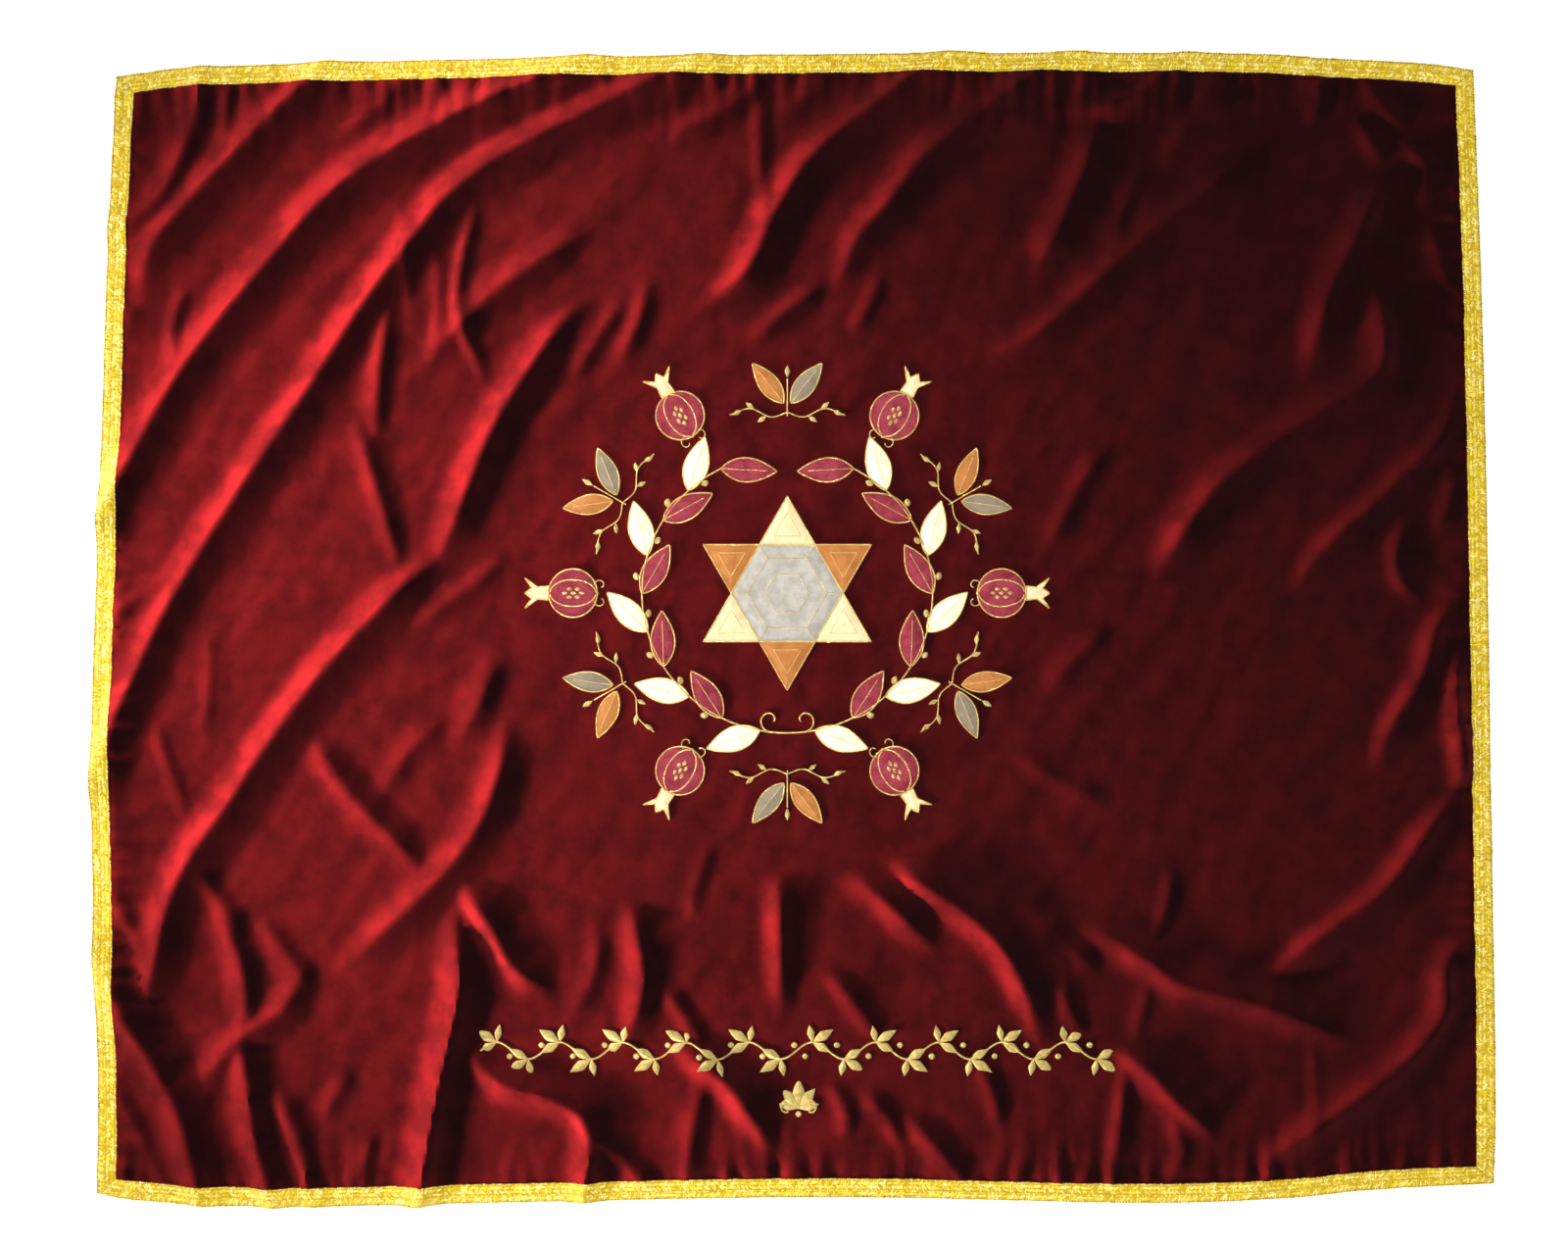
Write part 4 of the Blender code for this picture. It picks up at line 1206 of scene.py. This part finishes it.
class CoverColours(bpy.types.PropertyGroup):
    """Colours of the cover's cloth, threads and leathers."""

    velvet: colour_property("Velvet", "The velvet where its pile turns to the light", (0.42, 0.0137, 0.0158))
    velvet_deep: colour_property("Velvet Deep", "The velvet's darker patches", (0.26, 0.008, 0.01))
    braid: colour_property("Braid", "The braid's metal thread", (0.96, 0.76, 0.066))
    # Painted glint: the near-white gold of the braid's lightest bundles stands in for sparkle.
    braid_painted_glint: colour_property("Braid Painted Glint", "The braid's lightest bundles", (1.0, 0.93, 0.42))
    braid_deep: colour_property("Braid Deep", "The braid's darkest bundles", (0.58, 0.39, 0.011))
    satin: colour_property("Satin", "The embroidery's gold thread", (0.86, 0.66, 0.24))
    satin_deep: colour_property("Satin Deep", "Darker places in the embroidery", (0.62, 0.42, 0.10))
    cream: colour_property("Cream", "Cream leather", (0.93, 0.86, 0.62))
    burgundy: colour_property("Burgundy", "Foiled burgundy leather", (0.50, 0.07, 0.10))
    beige: colour_property("Beige", "Beige leather", (0.76, 0.64, 0.38))
    tan: colour_property("Tan", "Tan leather", (0.46, 0.18, 0.05))
    taupe: colour_property("Taupe", "Taupe leather", (0.26, 0.21, 0.15))
    silver: colour_property("Silver", "Foiled silver leather", (0.62, 0.58, 0.50))


class StageSettings(bpy.types.PropertyGroup):
    """The floor, camera and lights."""

    camera_height: length_property("Camera Height", "Height of the camera above the floor", 3.0)
    view_width: length_property("View Width", "Width that the camera sees on the floor", 1.686)
    key_power: bpy.props.FloatProperty(name="Key Power", description="Power of each metre of the low lights",
                                       default=1.1, min=0.0, subtype="POWER", unit="POWER")
    top_power: bpy.props.FloatProperty(name="Top Power", description="Power of the soft light overhead",
                                       default=165.0, min=0.0, subtype="POWER", unit="POWER")


MATERIALS = {}
FINISHES = {
    "velvet": velvet_material,
    "braid": braid_material,
    "satin": satin_material,
    "satin_leaf": satin_leaf_material,
}


def cover_material(scene, name):
    """A material of the cover, made on its first use. The leathers' names begin with leather."""
    if name not in MATERIALS:
        colours = scene.cover_colours
        if name in FINISHES:
            MATERIALS[name] = FINISHES[name](colours)
        else:
            MATERIALS[name] = leather_material(name.removeprefix("leather_"), colours)
    return MATERIALS[name]


def add_patch(scene, node, outline, slot):
    """A leather patch that swells from its stitched edge and follows the velvet under it."""
    outline = finer(outline, PATCH_CELL)
    rim = np.array(outline)
    middle = rim.mean(axis=0)
    count = len(rim)
    flat = np.vstack([middle + (rim - middle) * ring for ring in PATCH_RINGS] + [middle[None, :]])
    ground = cloth_height(flat) + VELVET_THICK
    upper = np.column_stack([flat, ground + patch_rise(flat, outline)])
    lower = np.column_stack([flat, ground + PATCH_LOW])
    faces = []
    for ring in range(len(PATCH_RINGS) - 1):
        for i in range(count):
            a, b = ring * count + i, ring * count + (i + 1) % count
            faces.append([a, b, b + count, a + count])
    last = (len(PATCH_RINGS) - 1) * count
    for i in range(count):
        faces.append([last + i, last + (i + 1) % count, last + count])
    made = new_object(f"{node}_leather", np.vstack([upper, lower]), sheet_faces(faces, len(flat)))
    return finished(made, cover_material(scene, slot), node)


def sew(scene, lines, name, width):
    """Turns gathered lines into a piece of satin stitch of this width."""
    finish = cover_material(scene, "satin")
    piece = new_object(name, lines.points, edges=lines.edges)
    shaped(piece, shared_group(satin_tree), {
        "Width": width, "Height": SATIN_TALL * width, "Step": SATIN_STEP, "Material": finish,
    })
    return finished(piece, finish)


def sew_leaves(scene, name, leaves, values=None):
    """Stitched leaves. Each has its foot, the direction it points in, its length and its height."""
    flat, headings, sizes, rises = (np.array(part) for part in zip(*leaves))
    piece = new_object(name, np.column_stack([flat, cloth_height(flat) + VELVET_THICK + rises]))
    pointing = np.column_stack([np.cos(headings), np.sin(headings), np.zeros(len(flat))])
    add_attribute(piece, "facing", "FLOAT_VECTOR", cloth_facing(flat))
    add_attribute(piece, "pointing", "FLOAT_VECTOR", pointing)
    add_attribute(piece, "size", "FLOAT", sizes)
    finish = cover_material(scene, "satin_leaf")
    shaped(piece, shared_group(stitched_leaf_tree), {"Material": finish, **(values or {})})
    return finished(piece, finish)


# The braid.


SIDES = ("bottom", "right", "top", "left")
# Each lane's distance from the outer edge and its height over the velvet.
BRAID_LANES = [
    (0.9 * MM, 0.9 * MM), (4.3 * MM, 1.2 * MM), (7.3 * MM, 1.55 * MM), (10.9 * MM, 1.3 * MM),
    (15.4 * MM, 1.25 * MM), (19.0 * MM, 0.95 * MM),
]
GROUND_LANES = (1.2 * MM, 5.5 * MM, 10.0 * MM, 14.5 * MM, 18.9 * MM)
LANE_STEP = 4.0 * MM
MITRE_GAP = 0.15 * MM
GROUND_LOW = 0.1 * MM
GROUND_HIGH = 0.9 * MM


def along_side(side, distance, shares):
    """Shares of the cover's width and height on a line at this distance inside one edge.

    The lines run round the cover anticlockwise and end on its mitres.
    """
    length = COVER_WIDE if side in ("bottom", "top") else COVER_TALL
    other = COVER_TALL if side in ("bottom", "top") else COVER_WIDE
    start = distance / length
    run = start + shares * (1 - 2 * start)
    off = np.full(len(shares), distance / other)
    return {
        "bottom": (run, off), "right": (1 - off, run), "top": (1 - run, 1 - off), "left": (off, 1 - run),
    }[side]


def add_braid(scene, side):
    """One length of woven braid with its ends cut along the mitres."""
    length = COVER_WIDE if side in ("bottom", "top") else COVER_TALL
    count = round(length / LANE_STEP)
    shares = np.linspace(0, 1, count)
    points, lanes, facings, edges, faces = [], [], [], [], []
    for number, (distance, lift) in enumerate(BRAID_LANES):
        u, v = along_side(side, distance, shares)
        start = len(points)
        points += cloth_place(u, v, lift).tolist()
        facings += cloth_facing(cover_point(u, v)).tolist()
        lanes += [number] * count
        edges += [(start + i, start + i + 1) for i in range(count - 1)]
    start = len(points)
    for lift in (GROUND_HIGH, GROUND_LOW):
        for distance in GROUND_LANES:
            u, v = along_side(side, distance, shares)
            points += cloth_place(u, v, lift).tolist()
            facings += [(0.0, 0.0, 1.0)] * count
            lanes += [-1] * count
    for row in range(len(GROUND_LANES) - 1):
        for i in range(count - 1):
            a = row * count + i
            faces.append([a, a + 1, a + 1 + count, a + count])
    closed = sheet_faces(faces, len(GROUND_LANES) * count)
    piece = new_object(f"braid_{side}_woven", points, [[start + i for i in face] for face in closed], edges)
    add_attribute(piece, "facing", "FLOAT_VECTOR", facings)
    lane = piece.data.attributes.new("lane", "INT", "POINT")
    lane.data.foreach_set("value", lanes)
    sizes = scene.cover_sizes
    finish = cover_material(scene, "braid")
    shaped(piece, shared_group(braid_tree), {
        "Row Pitch": sizes.row_pitch, "Loop Pitch": sizes.loop_pitch, "Seed": SIDES.index(side) + 1,
        "Material": finish,
    })
    cut_mitres(piece, side)
    return finished(piece, finish, f"braid_{side}", sharp=60)


def cut_mitres(piece, side):
    """Cuts a braid off along the slanting line at each of its corners, and closes the cuts."""
    work = bmesh.new()
    work.from_mesh(piece.data)
    for share in (0.0, 1.0):
        outer = cover_point(*along_side(side, 0.0, np.array([share])))[0]
        inner = cover_point(*along_side(side, BRAID_WIDE, np.array([share])))[0]
        middle = cover_point(*along_side(side, BRAID_WIDE, np.array([0.5])))[0]
        cut = Vector((outer[1] - inner[1], inner[0] - outer[0], 0.0)).normalized()
        if cut.dot(Vector((*(middle - outer), 0.0))) > 0:
            cut.negate()
        place = Vector((*outer, 0.0)) - cut * MITRE_GAP
        geometry = work.verts[:] + work.edges[:] + work.faces[:]
        bmesh.ops.bisect_plane(work, geom=geometry, dist=1e-7, plane_co=place, plane_no=cut, clear_outer=True)
        open_edges = [edge for edge in work.edges if edge.is_boundary]
        bmesh.ops.holes_fill(work, edges=open_edges, sides=0)
    work.to_mesh(piece.data)
    work.free()


# Operators, one for each piece or group of like pieces.


class Building:
    """What the operators share: each builds its own pieces."""

    def execute(self, context):
        self.build(context.scene)
        return {"FINISHED"}


class VelvetOperator(Building, bpy.types.Operator):
    """Lays the velvet in its folds"""

    bl_idname = "table_cover.velvet"
    bl_label = "Velvet"

    def build(self, scene):
        finished(velvet_mesh(), cover_material(scene, "velvet"), "velvet")


class BraidOperator(Building, bpy.types.Operator):
    """Sews the four lengths of woven braid round the velvet"""

    bl_idname = "table_cover.braid"
    bl_label = "Braid"

    def build(self, scene):
        for side in SIDES:
            add_braid(scene, side)


# The steps in a whole turn of a curl, and the share of its radius that it loses by its end.
CURL_STEPS = 30
CURL_SHRINK = 0.72


def spiral(place, start_angle, radius, turns, hand):
    """Points of a curl that winds in towards its middle from the place."""
    middle = (place[0] - radius * math.cos(start_angle), place[1] - radius * math.sin(start_angle))
    steps = round(CURL_STEPS * turns)
    points = []
    for step in range(steps + 1):
        share = step / steps
        angle = start_angle + hand * share * turns * 2 * math.pi
        size = radius * (1 - CURL_SHRINK * share)
        points.append((middle[0] + size * math.cos(angle), middle[1] + size * math.sin(angle)))
    return points


def vein_line(leaf, start, end, count):
    """The middle line of a leaf of this size, between two shares of its length."""
    return [(leaf[0] * share, 0.0) for share in np.linspace(start, end, count)]


def mirrored(points):
    """The points on the other side of the design's upright middle line."""
    return [(2 * MIDDLE[0] - x, y) for x, y in points]


# The star's quilted lines, as shares of the way to its centre's corners and of a point's size.
STAR_RINGS = (0.72, 0.40)
STAR_SPOKE = np.linspace(0.72, 0.97, 10)
STAR_POINT_QUILT = 0.5


class StarOperator(Building, bpy.types.Operator):
    """Sews on the star: its six-sided centre, six points and their stitching"""

    bl_idname = "table_cover.star"
    bl_label = "Star"

    def build(self, scene):
        rims, quilting = StitchedLines(), StitchedLines()
        half_turn = math.pi / STAR_POINTS
        turns = [math.radians(90) + 2 * math.pi * k / STAR_POINTS for k in range(STAR_POINTS)]

        def corner(radius, turn):
            return on_ellipse((radius, radius), turn)

        def hexagon(radius):
            return [corner(radius, turn + half_turn) for turn in turns]

        reach = STAR_INNER - PATCH_GAP
        centre = hexagon(reach)
        add_patch(scene, "star_centre", centre, "leather_silver")
        rims.add_rim(hexagon(STAR_INNER))
        for share in STAR_RINGS:
            ring = finer(hexagon(reach * share), STITCH_STEP)
            quilting.add_on_patch(ring + ring[:1], centre)
        for turn in turns:
            quilting.add_on_patch([corner(reach * share, turn + half_turn) for share in STAR_SPOKE], centre)

        base = STAR_INNER * math.cos(half_turn) + PATCH_GAP / 2
        half_base = STAR_INNER * math.sin(half_turn) - PATCH_GAP
        point = [(base, -half_base), (STAR_TIP - PATCH_GAP, 0.0), (base, half_base)]
        middle_x = (base * 2 + STAR_TIP) / 3
        inner = [(middle_x + (x - middle_x) * STAR_POINT_QUILT, y * STAR_POINT_QUILT) for x, y in point]
        closing_side = round(STAR_INNER / STITCH_STEP)
        for number, turn in enumerate(turns, 1):
            outline = placed(point, MIDDLE, turn)
            slot = "leather_beige" if number % 2 else "leather_tan"
            add_patch(scene, f"star_point_{number}", outline, slot)
            sides = [corner(STAR_INNER, turn - half_turn), corner(STAR_TIP, turn),
                     corner(STAR_INNER, turn + half_turn)]
            rims.add(finer(sides, STITCH_STEP)[:1 - closing_side], RIM_LIFT)
            quilt = finer(placed(inner, MIDDLE, turn), STITCH_STEP)
            quilting.add_on_patch(quilt + quilt[:1], outline)
        sew(scene, rims, "star_outline_stitching", scene.cover_sizes.outline_width)
        sew(scene, quilting, "star_quilting", scene.cover_sizes.vein_width)


WREATH_VEIN = (0.03, 0.82, 24)
WREATH_STEM = np.linspace(math.radians(-96), WREATH_LAST, 150)
WREATH_CURL = {"start_angle": math.radians(-90 + 8), "radius": 13 * MM, "turns": 0.85, "hand": -1}
BERRY_TURN = 0.85
BERRY_AWAY = 15 * MM
BERRY_LONG = 8.5 * MM


class WreathOperator(Building, bpy.types.Operator):
    """Sews on the wreath: cream and burgundy leaves, their stems and berries"""

    bl_idname = "table_cover.wreath"
    bl_label = "Wreath"

    def build(self, scene):
        rims, veins, stems = StitchedLines(), StitchedLines(), StitchedLines()
        berries = []
        for side in ("right", "left"):
            for number in range(WREATH_LEAVES):
                share = number / (WREATH_LEAVES - 1)
                angle = WREATH_FIRST + share * (WREATH_LAST - WREATH_FIRST)
                outside = number % 2 == 0
                place = on_ellipse(WREATH_HALF, angle)
                heading = angle + math.pi / 2 + (-WREATH_TURN if outside else WREATH_TURN)
                outline = placed(leaf_shape(WREATH_LEAF), place, heading)
                vein = placed(vein_line(WREATH_LEAF, *WREATH_VEIN), place, heading)
                berry_turn = heading + (BERRY_TURN if outside else -BERRY_TURN)
                berry = placed([(BERRY_AWAY, 0.0)], place, berry_turn)
                if side == "left":
                    outline, vein, berry = mirrored(outline)[::-1], mirrored(vein), mirrored(berry)
                    berry_turn = math.pi - berry_turn
                slot = "leather_cream" if outside else "leather_burgundy"
                add_patch(scene, f"wreath_leaf_{side}_{number + 1:02d}", outline, slot)
                rims.add_rim(outline)
                veins.add_on_patch(vein, outline)
                if 0 < number < WREATH_LEAVES - 1:
                    berries.append((berry[0], berry_turn, BERRY_LONG, LEAF_LIFT))
            stem = [on_ellipse(WREATH_HALF, angle) for angle in WREATH_STEM]
            stem = spiral(stem[0], **WREATH_CURL)[:0:-1] + stem
            stems.add(stem if side == "right" else mirrored(stem))
        sizes = scene.cover_sizes
        sew(scene, rims, "wreath_outline_stitching", sizes.outline_width)
        sew(scene, veins, "wreath_veins", sizes.vein_width)
        sew(scene, stems, "wreath_stems", sizes.stem_width)
        sew_leaves(scene, "wreath_berries", berries, {"Broadness": 0.75, "Fullness": 0.3, "Point": 0.15})


# A fruit's two curved ribs, as shares of its radius, the curl at its foot, and its seeds.
RIB_REACH = (0.94, 0.55)
RIB_TURNS = np.linspace(0.12, math.pi - 0.12, 30)
RIB_SUNK = 0.4 * MM
CURL_FOOT = 1.5 * MM
CURL_TURN = math.radians(78)
CURL_RADIUS = 8.5 * MM
CURL_WIDER = 1.35
SEEDS = [(0, 0), (9, 0), (-9, 0), (4.5, 4.2), (4.5, -4.2), (-4.5, 4.2), (-4.5, -4.2)]
SEEDS_BACK = 3.5 * MM
SEED_LONG = 6.4 * MM


class FruitOperator(Building, bpy.types.Operator):
    """Sews on the six pomegranates with their crowns, seeds and curls"""

    bl_idname = "table_cover.fruit"
    bl_label = "Pomegranates"

    def build(self, scene):
        rims, curls = StitchedLines(), StitchedLines()
        seeds = []
        fruit = circle_shape(FRUIT_RADIUS, FRUIT_SIDES)
        crown_at = FRUIT_RADIUS + PATCH_GAP
        crown = [(x + crown_at, y) for x, y in crown_shape()]
        for number in range(OUTER_STATIONS):
            angle = math.radians(60 * number)
            place = on_ellipse(FRUIT_HALF, angle)
            body, top = placed(fruit, place, angle), placed(crown, place, angle)
            add_patch(scene, f"fruit_{number + 1}", body, "leather_burgundy")
            add_patch(scene, f"crown_{number + 1}", top, "leather_beige")
            rims.add_rim(body)
            rims.add_rim(top)
            foot = placed([(-FRUIT_RADIUS - CURL_FOOT, 0.0)], place, angle)[0]
            for side in (-1, 1):
                rib = [(FRUIT_RADIUS * RIB_REACH[0] * math.cos(turn),
                        side * FRUIT_RADIUS * RIB_REACH[1] * math.sin(turn)) for turn in RIB_TURNS]
                rims.add_on_patch(placed(rib, place, angle), body, RIB_SUNK)
                curls.add(spiral(foot, angle + side * CURL_TURN, CURL_RADIUS, 0.9, -side))
            for x, y in SEEDS:
                seed = placed([(x * MM - SEEDS_BACK, y * MM)], place, angle)[0]
                seeds.append((seed, angle, SEED_LONG, patch_rise(np.array([seed]), body)[0]))
        sizes = scene.cover_sizes
        sew(scene, rims, "fruit_outline_stitching", sizes.outline_width)
        sew(scene, curls, "fruit_curls", sizes.vein_width * CURL_WIDER)
        sew_leaves(scene, "fruit_seeds", seeds, {"Broadness": 0.6, "Fullness": 0.25, "Point": 0.35})


# A pair's straight stem and its bud, and the two bent stems at its foot with their buds. Each of
# those buds has its place along the bent stem and how it leans.
SPRIG_VEIN = (0.04, 0.8, 22)
SPRIG_STEM = [(t * MM, 0.0) for t in range(-14, 27)]
SPRIG_STEM_WIDTH = 0.8
TIP_BUD_AT = 27 * MM
TIP_BUD_LONG = 13 * MM
SIDE_STEM_AT = -10 * MM
SIDE_STEM = [(0, 0), (-5, 18), (4, 40), (-3, 62)]
SIDE_BUDS = ((12, 0.6), (18, -0.7), (24, 0.5))
SIDE_BUD_LONG = 12 * MM


class SprigOperator(Building, bpy.types.Operator):
    """Sews on the six pairs of leaves with their stems and buds"""

    bl_idname = "table_cover.sprigs"
    bl_label = "Leaf Pairs"

    def build(self, scene):
        rims, veins, stems = StitchedLines(), StitchedLines(), StitchedLines()
        buds = []
        for number in range(OUTER_STATIONS):
            angle = math.radians(60 * number + 30)
            place = on_ellipse(SPRIG_HALF, angle)
            for letter, turn, slot in (("a", SPRIG_TURN, "leather_tan"), ("b", -SPRIG_TURN, "leather_taupe")):
                foot = placed([(0.0, math.copysign(SPRIG_FOOT, turn))], place, angle)[0]
                outline = placed(leaf_shape(SPRIG_LEAF), foot, angle + turn)
                add_patch(scene, f"sprig_leaf_{number + 1}{letter}", outline, slot)
                rims.add_rim(outline)
                veins.add_on_patch(placed(vein_line(SPRIG_LEAF, *SPRIG_VEIN), foot, angle + turn), outline)
            stems.add(placed(SPRIG_STEM, place, angle))
            buds.append((placed([(TIP_BUD_AT, 0.0)], place, angle)[0], angle, TIP_BUD_LONG, LEAF_LIFT))
            foot = placed([(SIDE_STEM_AT, 0.0)], place, angle)[0]
            for side in (-1, 1):
                curve = curve_through([(x, side * y) for x, y in SIDE_STEM], 10) * MM
                stems.add(placed(curve, foot, angle))
                for step, lean in SIDE_BUDS:
                    here = placed([curve[step]], foot, angle)[0]
                    heading = angle + side * (math.pi / 2 + lean)
                    buds.append((here, heading, SIDE_BUD_LONG, STEM_LIFT))
        sizes = scene.cover_sizes
        sew(scene, rims, "sprig_outline_stitching", sizes.outline_width)
        sew(scene, veins, "sprig_veins", sizes.vein_width)
        sew(scene, stems, "sprig_stems", sizes.stem_width * SPRIG_STEM_WIDTH)
        sew_leaves(scene, "sprig_buds", buds)


# The scroll's middle, its half length, and the length and height of its waves. At each crest stand
# three leaves, each with its turn and size, and a berry behind them.
SCROLL_AT = np.array([0.2, -45.1]) * CM
SCROLL_HALF = 33.9 * CM
SCROLL_WAVE = 6.78 * CM
SCROLL_HIGH = 9.0 * MM
SCROLL_POINTS = 420
SCROLL_LEAF = 26.0 * MM
SCROLL_LEAVES = ((0.55, 1.0), (1.75, 0.72), (-0.5, 0.9))
SCROLL_BERRY_AWAY = (11 * MM, 15 * MM)
SCROLL_BERRY = 6.5 * MM
SCROLL_STEM_WIDTH = 1.15
# The fan under the scroll: its foot, each leaf's direction in degrees and length in millimetres,
# and the berry and curls at its foot.
FAN_FOOT = np.array([0.4, -45.1 - 6.2]) * CM
FAN_LEAVES = ((90, 33), (50, 29), (130, 29), (12, 23), (168, 23))
FAN_BERRY_AWAY = (3.2 * MM, 6 * MM)
FAN_CURL = 12 * MM


class ScrollOperator(Building, bpy.types.Operator):
    """Embroiders the scroll of leaves near the lower edge"""

    bl_idname = "table_cover.scroll"
    bl_label = "Lower Scroll"

    def build(self, scene):
        stems = StitchedLines()
        leaves, berries = [], []
        middle, fan = SHIFT + SCROLL_AT, SHIFT + FAN_FOOT
        xs = np.linspace(-SCROLL_HALF, SCROLL_HALF, SCROLL_POINTS)
        wave = SCROLL_HIGH * np.sin(2 * math.pi * xs / SCROLL_WAVE)
        stems.add(np.column_stack([xs, wave]) + middle)
        for number in range(round(4 * SCROLL_HALF / SCROLL_WAVE)):
            x = -SCROLL_HALF + (number + 0.5) * SCROLL_WAVE / 2
            side = 1 if math.sin(2 * math.pi * x / SCROLL_WAVE) > 0 else -1
            outward = -1 if x < 0 else 1
            crest = (x + middle[0], side * SCROLL_HIGH + middle[1])
            for heading, size in SCROLL_LEAVES:
                turn = side * heading if outward > 0 else math.pi - side * heading
                leaves.append((crest, turn, SCROLL_LEAF * size, LEAF_LIFT))
            back, down = SCROLL_BERRY_AWAY
            berry = (crest[0] - outward * back, crest[1] - side * down)
            berries.append((berry, 0.0, SCROLL_BERRY, STEM_LIFT))
        for turn, length in FAN_LEAVES:
            leaves.append((fan, math.radians(turn), length * MM, LEAF_LIFT))
        for side in (-1, 1):
            stems.add(spiral(fan, math.radians(90 + side * 90), FAN_CURL, 0.8, -side))
        berries.append((fan - FAN_BERRY_AWAY, 0.0, SCROLL_BERRY, STEM_LIFT))
        sew(scene, stems, "scroll_stems", scene.cover_sizes.stem_width * SCROLL_STEM_WIDTH)
        sew_leaves(scene, "scroll_leaves", leaves)
        sew_leaves(scene, "scroll_berries", berries, {"Broadness": 0.95, "Fullness": 0.3, "Point": 0.1})


def soft_light(name, place, target, size, power, colour, spread=180.0, shines=True):
    """A soft rectangular light that looks at the target. Its spread is in degrees."""
    light = bpy.data.lights.new(name, "AREA")
    light.shape = "RECTANGLE"
    light.size, light.size_y = size
    light.energy = power
    light.color = colour
    light.spread = math.radians(spread)
    made = bpy.data.objects.new(name, light)
    made.location = place
    made.rotation_euler = (Vector(target) - Vector(place)).to_track_quat("-Z", "Y").to_euler()
    made.visible_camera = False
    made.visible_glossy = shines
    bpy.context.scene.collection.objects.link(made)
    return light


# Two long low lights at the left, whose beams cross: name, place, target, length in metres, and
# whether the folds cast shadows in it.
KEY_BARS = [
    ("upper key light", (-1.4, 0.46, 0.26), (-0.43, -0.22, 0.0), 1.66, False),
    ("lower key light", (-1.08, -0.77, 0.235), (-0.1, -0.12, 0.0), 1.7, True),
]
KEY_THICK = 0.1
KEY_SPREAD = 26.0
KEY_COLOUR = (1.0, 0.97, 0.93)
TOP_LIGHT_AT = (0.0, 0.0, 3.2)
TOP_LIGHT_SIZE = (2.6, 2.6)

VIEW_MIDDLE = np.array([-1.16, 0.9]) * CM
SENSOR_WIDTH = 36.0
VIEW_END = 50.0

FLOOR_HALF = 6.0
FLOOR_BELOW = 0.3 * MM
FLOOR_GLOW = 0.35
WHITE = (1.0, 1.0, 1.0, 1.0)
# The world's strength as a light, and as the camera sees it past the floor.
WORLD_LIGHT = 0.01
WORLD_SEEN = 0.92


class StageOperator(Building, bpy.types.Operator):
    """Sets up the floor, lights and camera"""

    bl_idname = "table_cover.stage"
    bl_label = "Stage"

    def build(self, scene):
        self.add_camera(scene)
        self.add_floor()
        self.add_lights(scene)
        view = scene.view_settings
        view.view_transform, view.look, view.exposure, view.gamma = "Standard", "None", 0.0, 1.0

    def add_camera(self, scene):
        stage = scene.cover_stage
        camera = bpy.data.objects.new("camera", bpy.data.cameras.new("camera"))
        scene.collection.objects.link(camera)
        camera.location = (*(SHIFT + VIEW_MIDDLE), stage.camera_height)
        camera.data.sensor_width = SENSOR_WIDTH
        camera.data.lens = camera.data.sensor_width * stage.camera_height / stage.view_width
        camera.data.clip_end = VIEW_END
        scene.camera = camera

    def add_floor(self):
        corners = [(x * FLOOR_HALF, y * FLOOR_HALF, 0) for x, y in ((-1, -1), (1, -1), (1, 1), (-1, 1))]
        floor = new_object("floor", corners, [(0, 1, 2, 3)])
        floor.location.z = -FLOOR_BELOW
        write = FinishWriter("pale floor", Roughness=0.9, Emission_Color=WHITE,
                             Emission_Strength=FLOOR_GLOW)
        write.mottled((0.9, 0.9, 0.89, 1.0), (0.86, 0.86, 0.85, 1.0), patch=0.4)
        floor.data.materials.append(write.material)

    def add_lights(self, scene):
        stage = scene.cover_stage
        for name, place, target, length, casts_shadow in KEY_BARS:
            key = soft_light(name, place, target, (length, KEY_THICK), stage.key_power * length,
                             KEY_COLOUR, KEY_SPREAD)
            key.use_shadow = casts_shadow
        soft_light("top light", TOP_LIGHT_AT, (0.0, 0.0, 0.0), TOP_LIGHT_SIZE, stage.top_power,
                   WHITE[:3], shines=False)
        world = bpy.data.worlds.new("pale room")
        world.use_nodes = True
        scene.world = world
        write = NodeWriter(world.node_tree)
        back = world.node_tree.nodes["Background"]
        back.inputs["Color"].default_value = WHITE
        seen = write("ShaderNodeLightPath", key="Is Camera Ray")
        strength = write("ShaderNodeMapRange", {"Value": seen, "To Min": WORLD_LIGHT, "To Max": WORLD_SEEN})
        write.link(strength, back.inputs["Strength"])


OPERATORS = (VelvetOperator, BraidOperator, StarOperator, WreathOperator, FruitOperator, SprigOperator,
             ScrollOperator, StageOperator)


class CoverPanel(bpy.types.Panel):
    """The cover's pieces, sizes and colours"""

    bl_idname = "VIEW3D_PT_table_cover"
    bl_label = "Table Cover"
    bl_space_type = "VIEW_3D"
    bl_region_type = "UI"
    bl_category = "Table Cover"

    def draw(self, context):
        for settings in (context.scene.cover_sizes, context.scene.cover_colours, context.scene.cover_stage):
            box = self.layout.box()
            for name in settings.__annotations__:
                box.prop(settings, name)
        for operator in OPERATORS:
            self.layout.operator(operator.bl_idname)


CLASSES = (CoverSizes, CoverColours, StageSettings, *OPERATORS, CoverPanel)


def register():
    for item in CLASSES:
        bpy.utils.register_class(item)
    bpy.types.Scene.cover_sizes = bpy.props.PointerProperty(type=CoverSizes)
    bpy.types.Scene.cover_colours = bpy.props.PointerProperty(type=CoverColours)
    bpy.types.Scene.cover_stage = bpy.props.PointerProperty(type=StageSettings)


def unregister():
    del bpy.types.Scene.cover_stage
    del bpy.types.Scene.cover_colours
    del bpy.types.Scene.cover_sizes
    for item in reversed(CLASSES):
        bpy.utils.unregister_class(item)


def main():
    register()
    for operator in OPERATORS:
        name = operator.bl_idname.split(".")[1]
        getattr(bpy.ops.table_cover, name)()


if __name__ == "__main__":
    main()
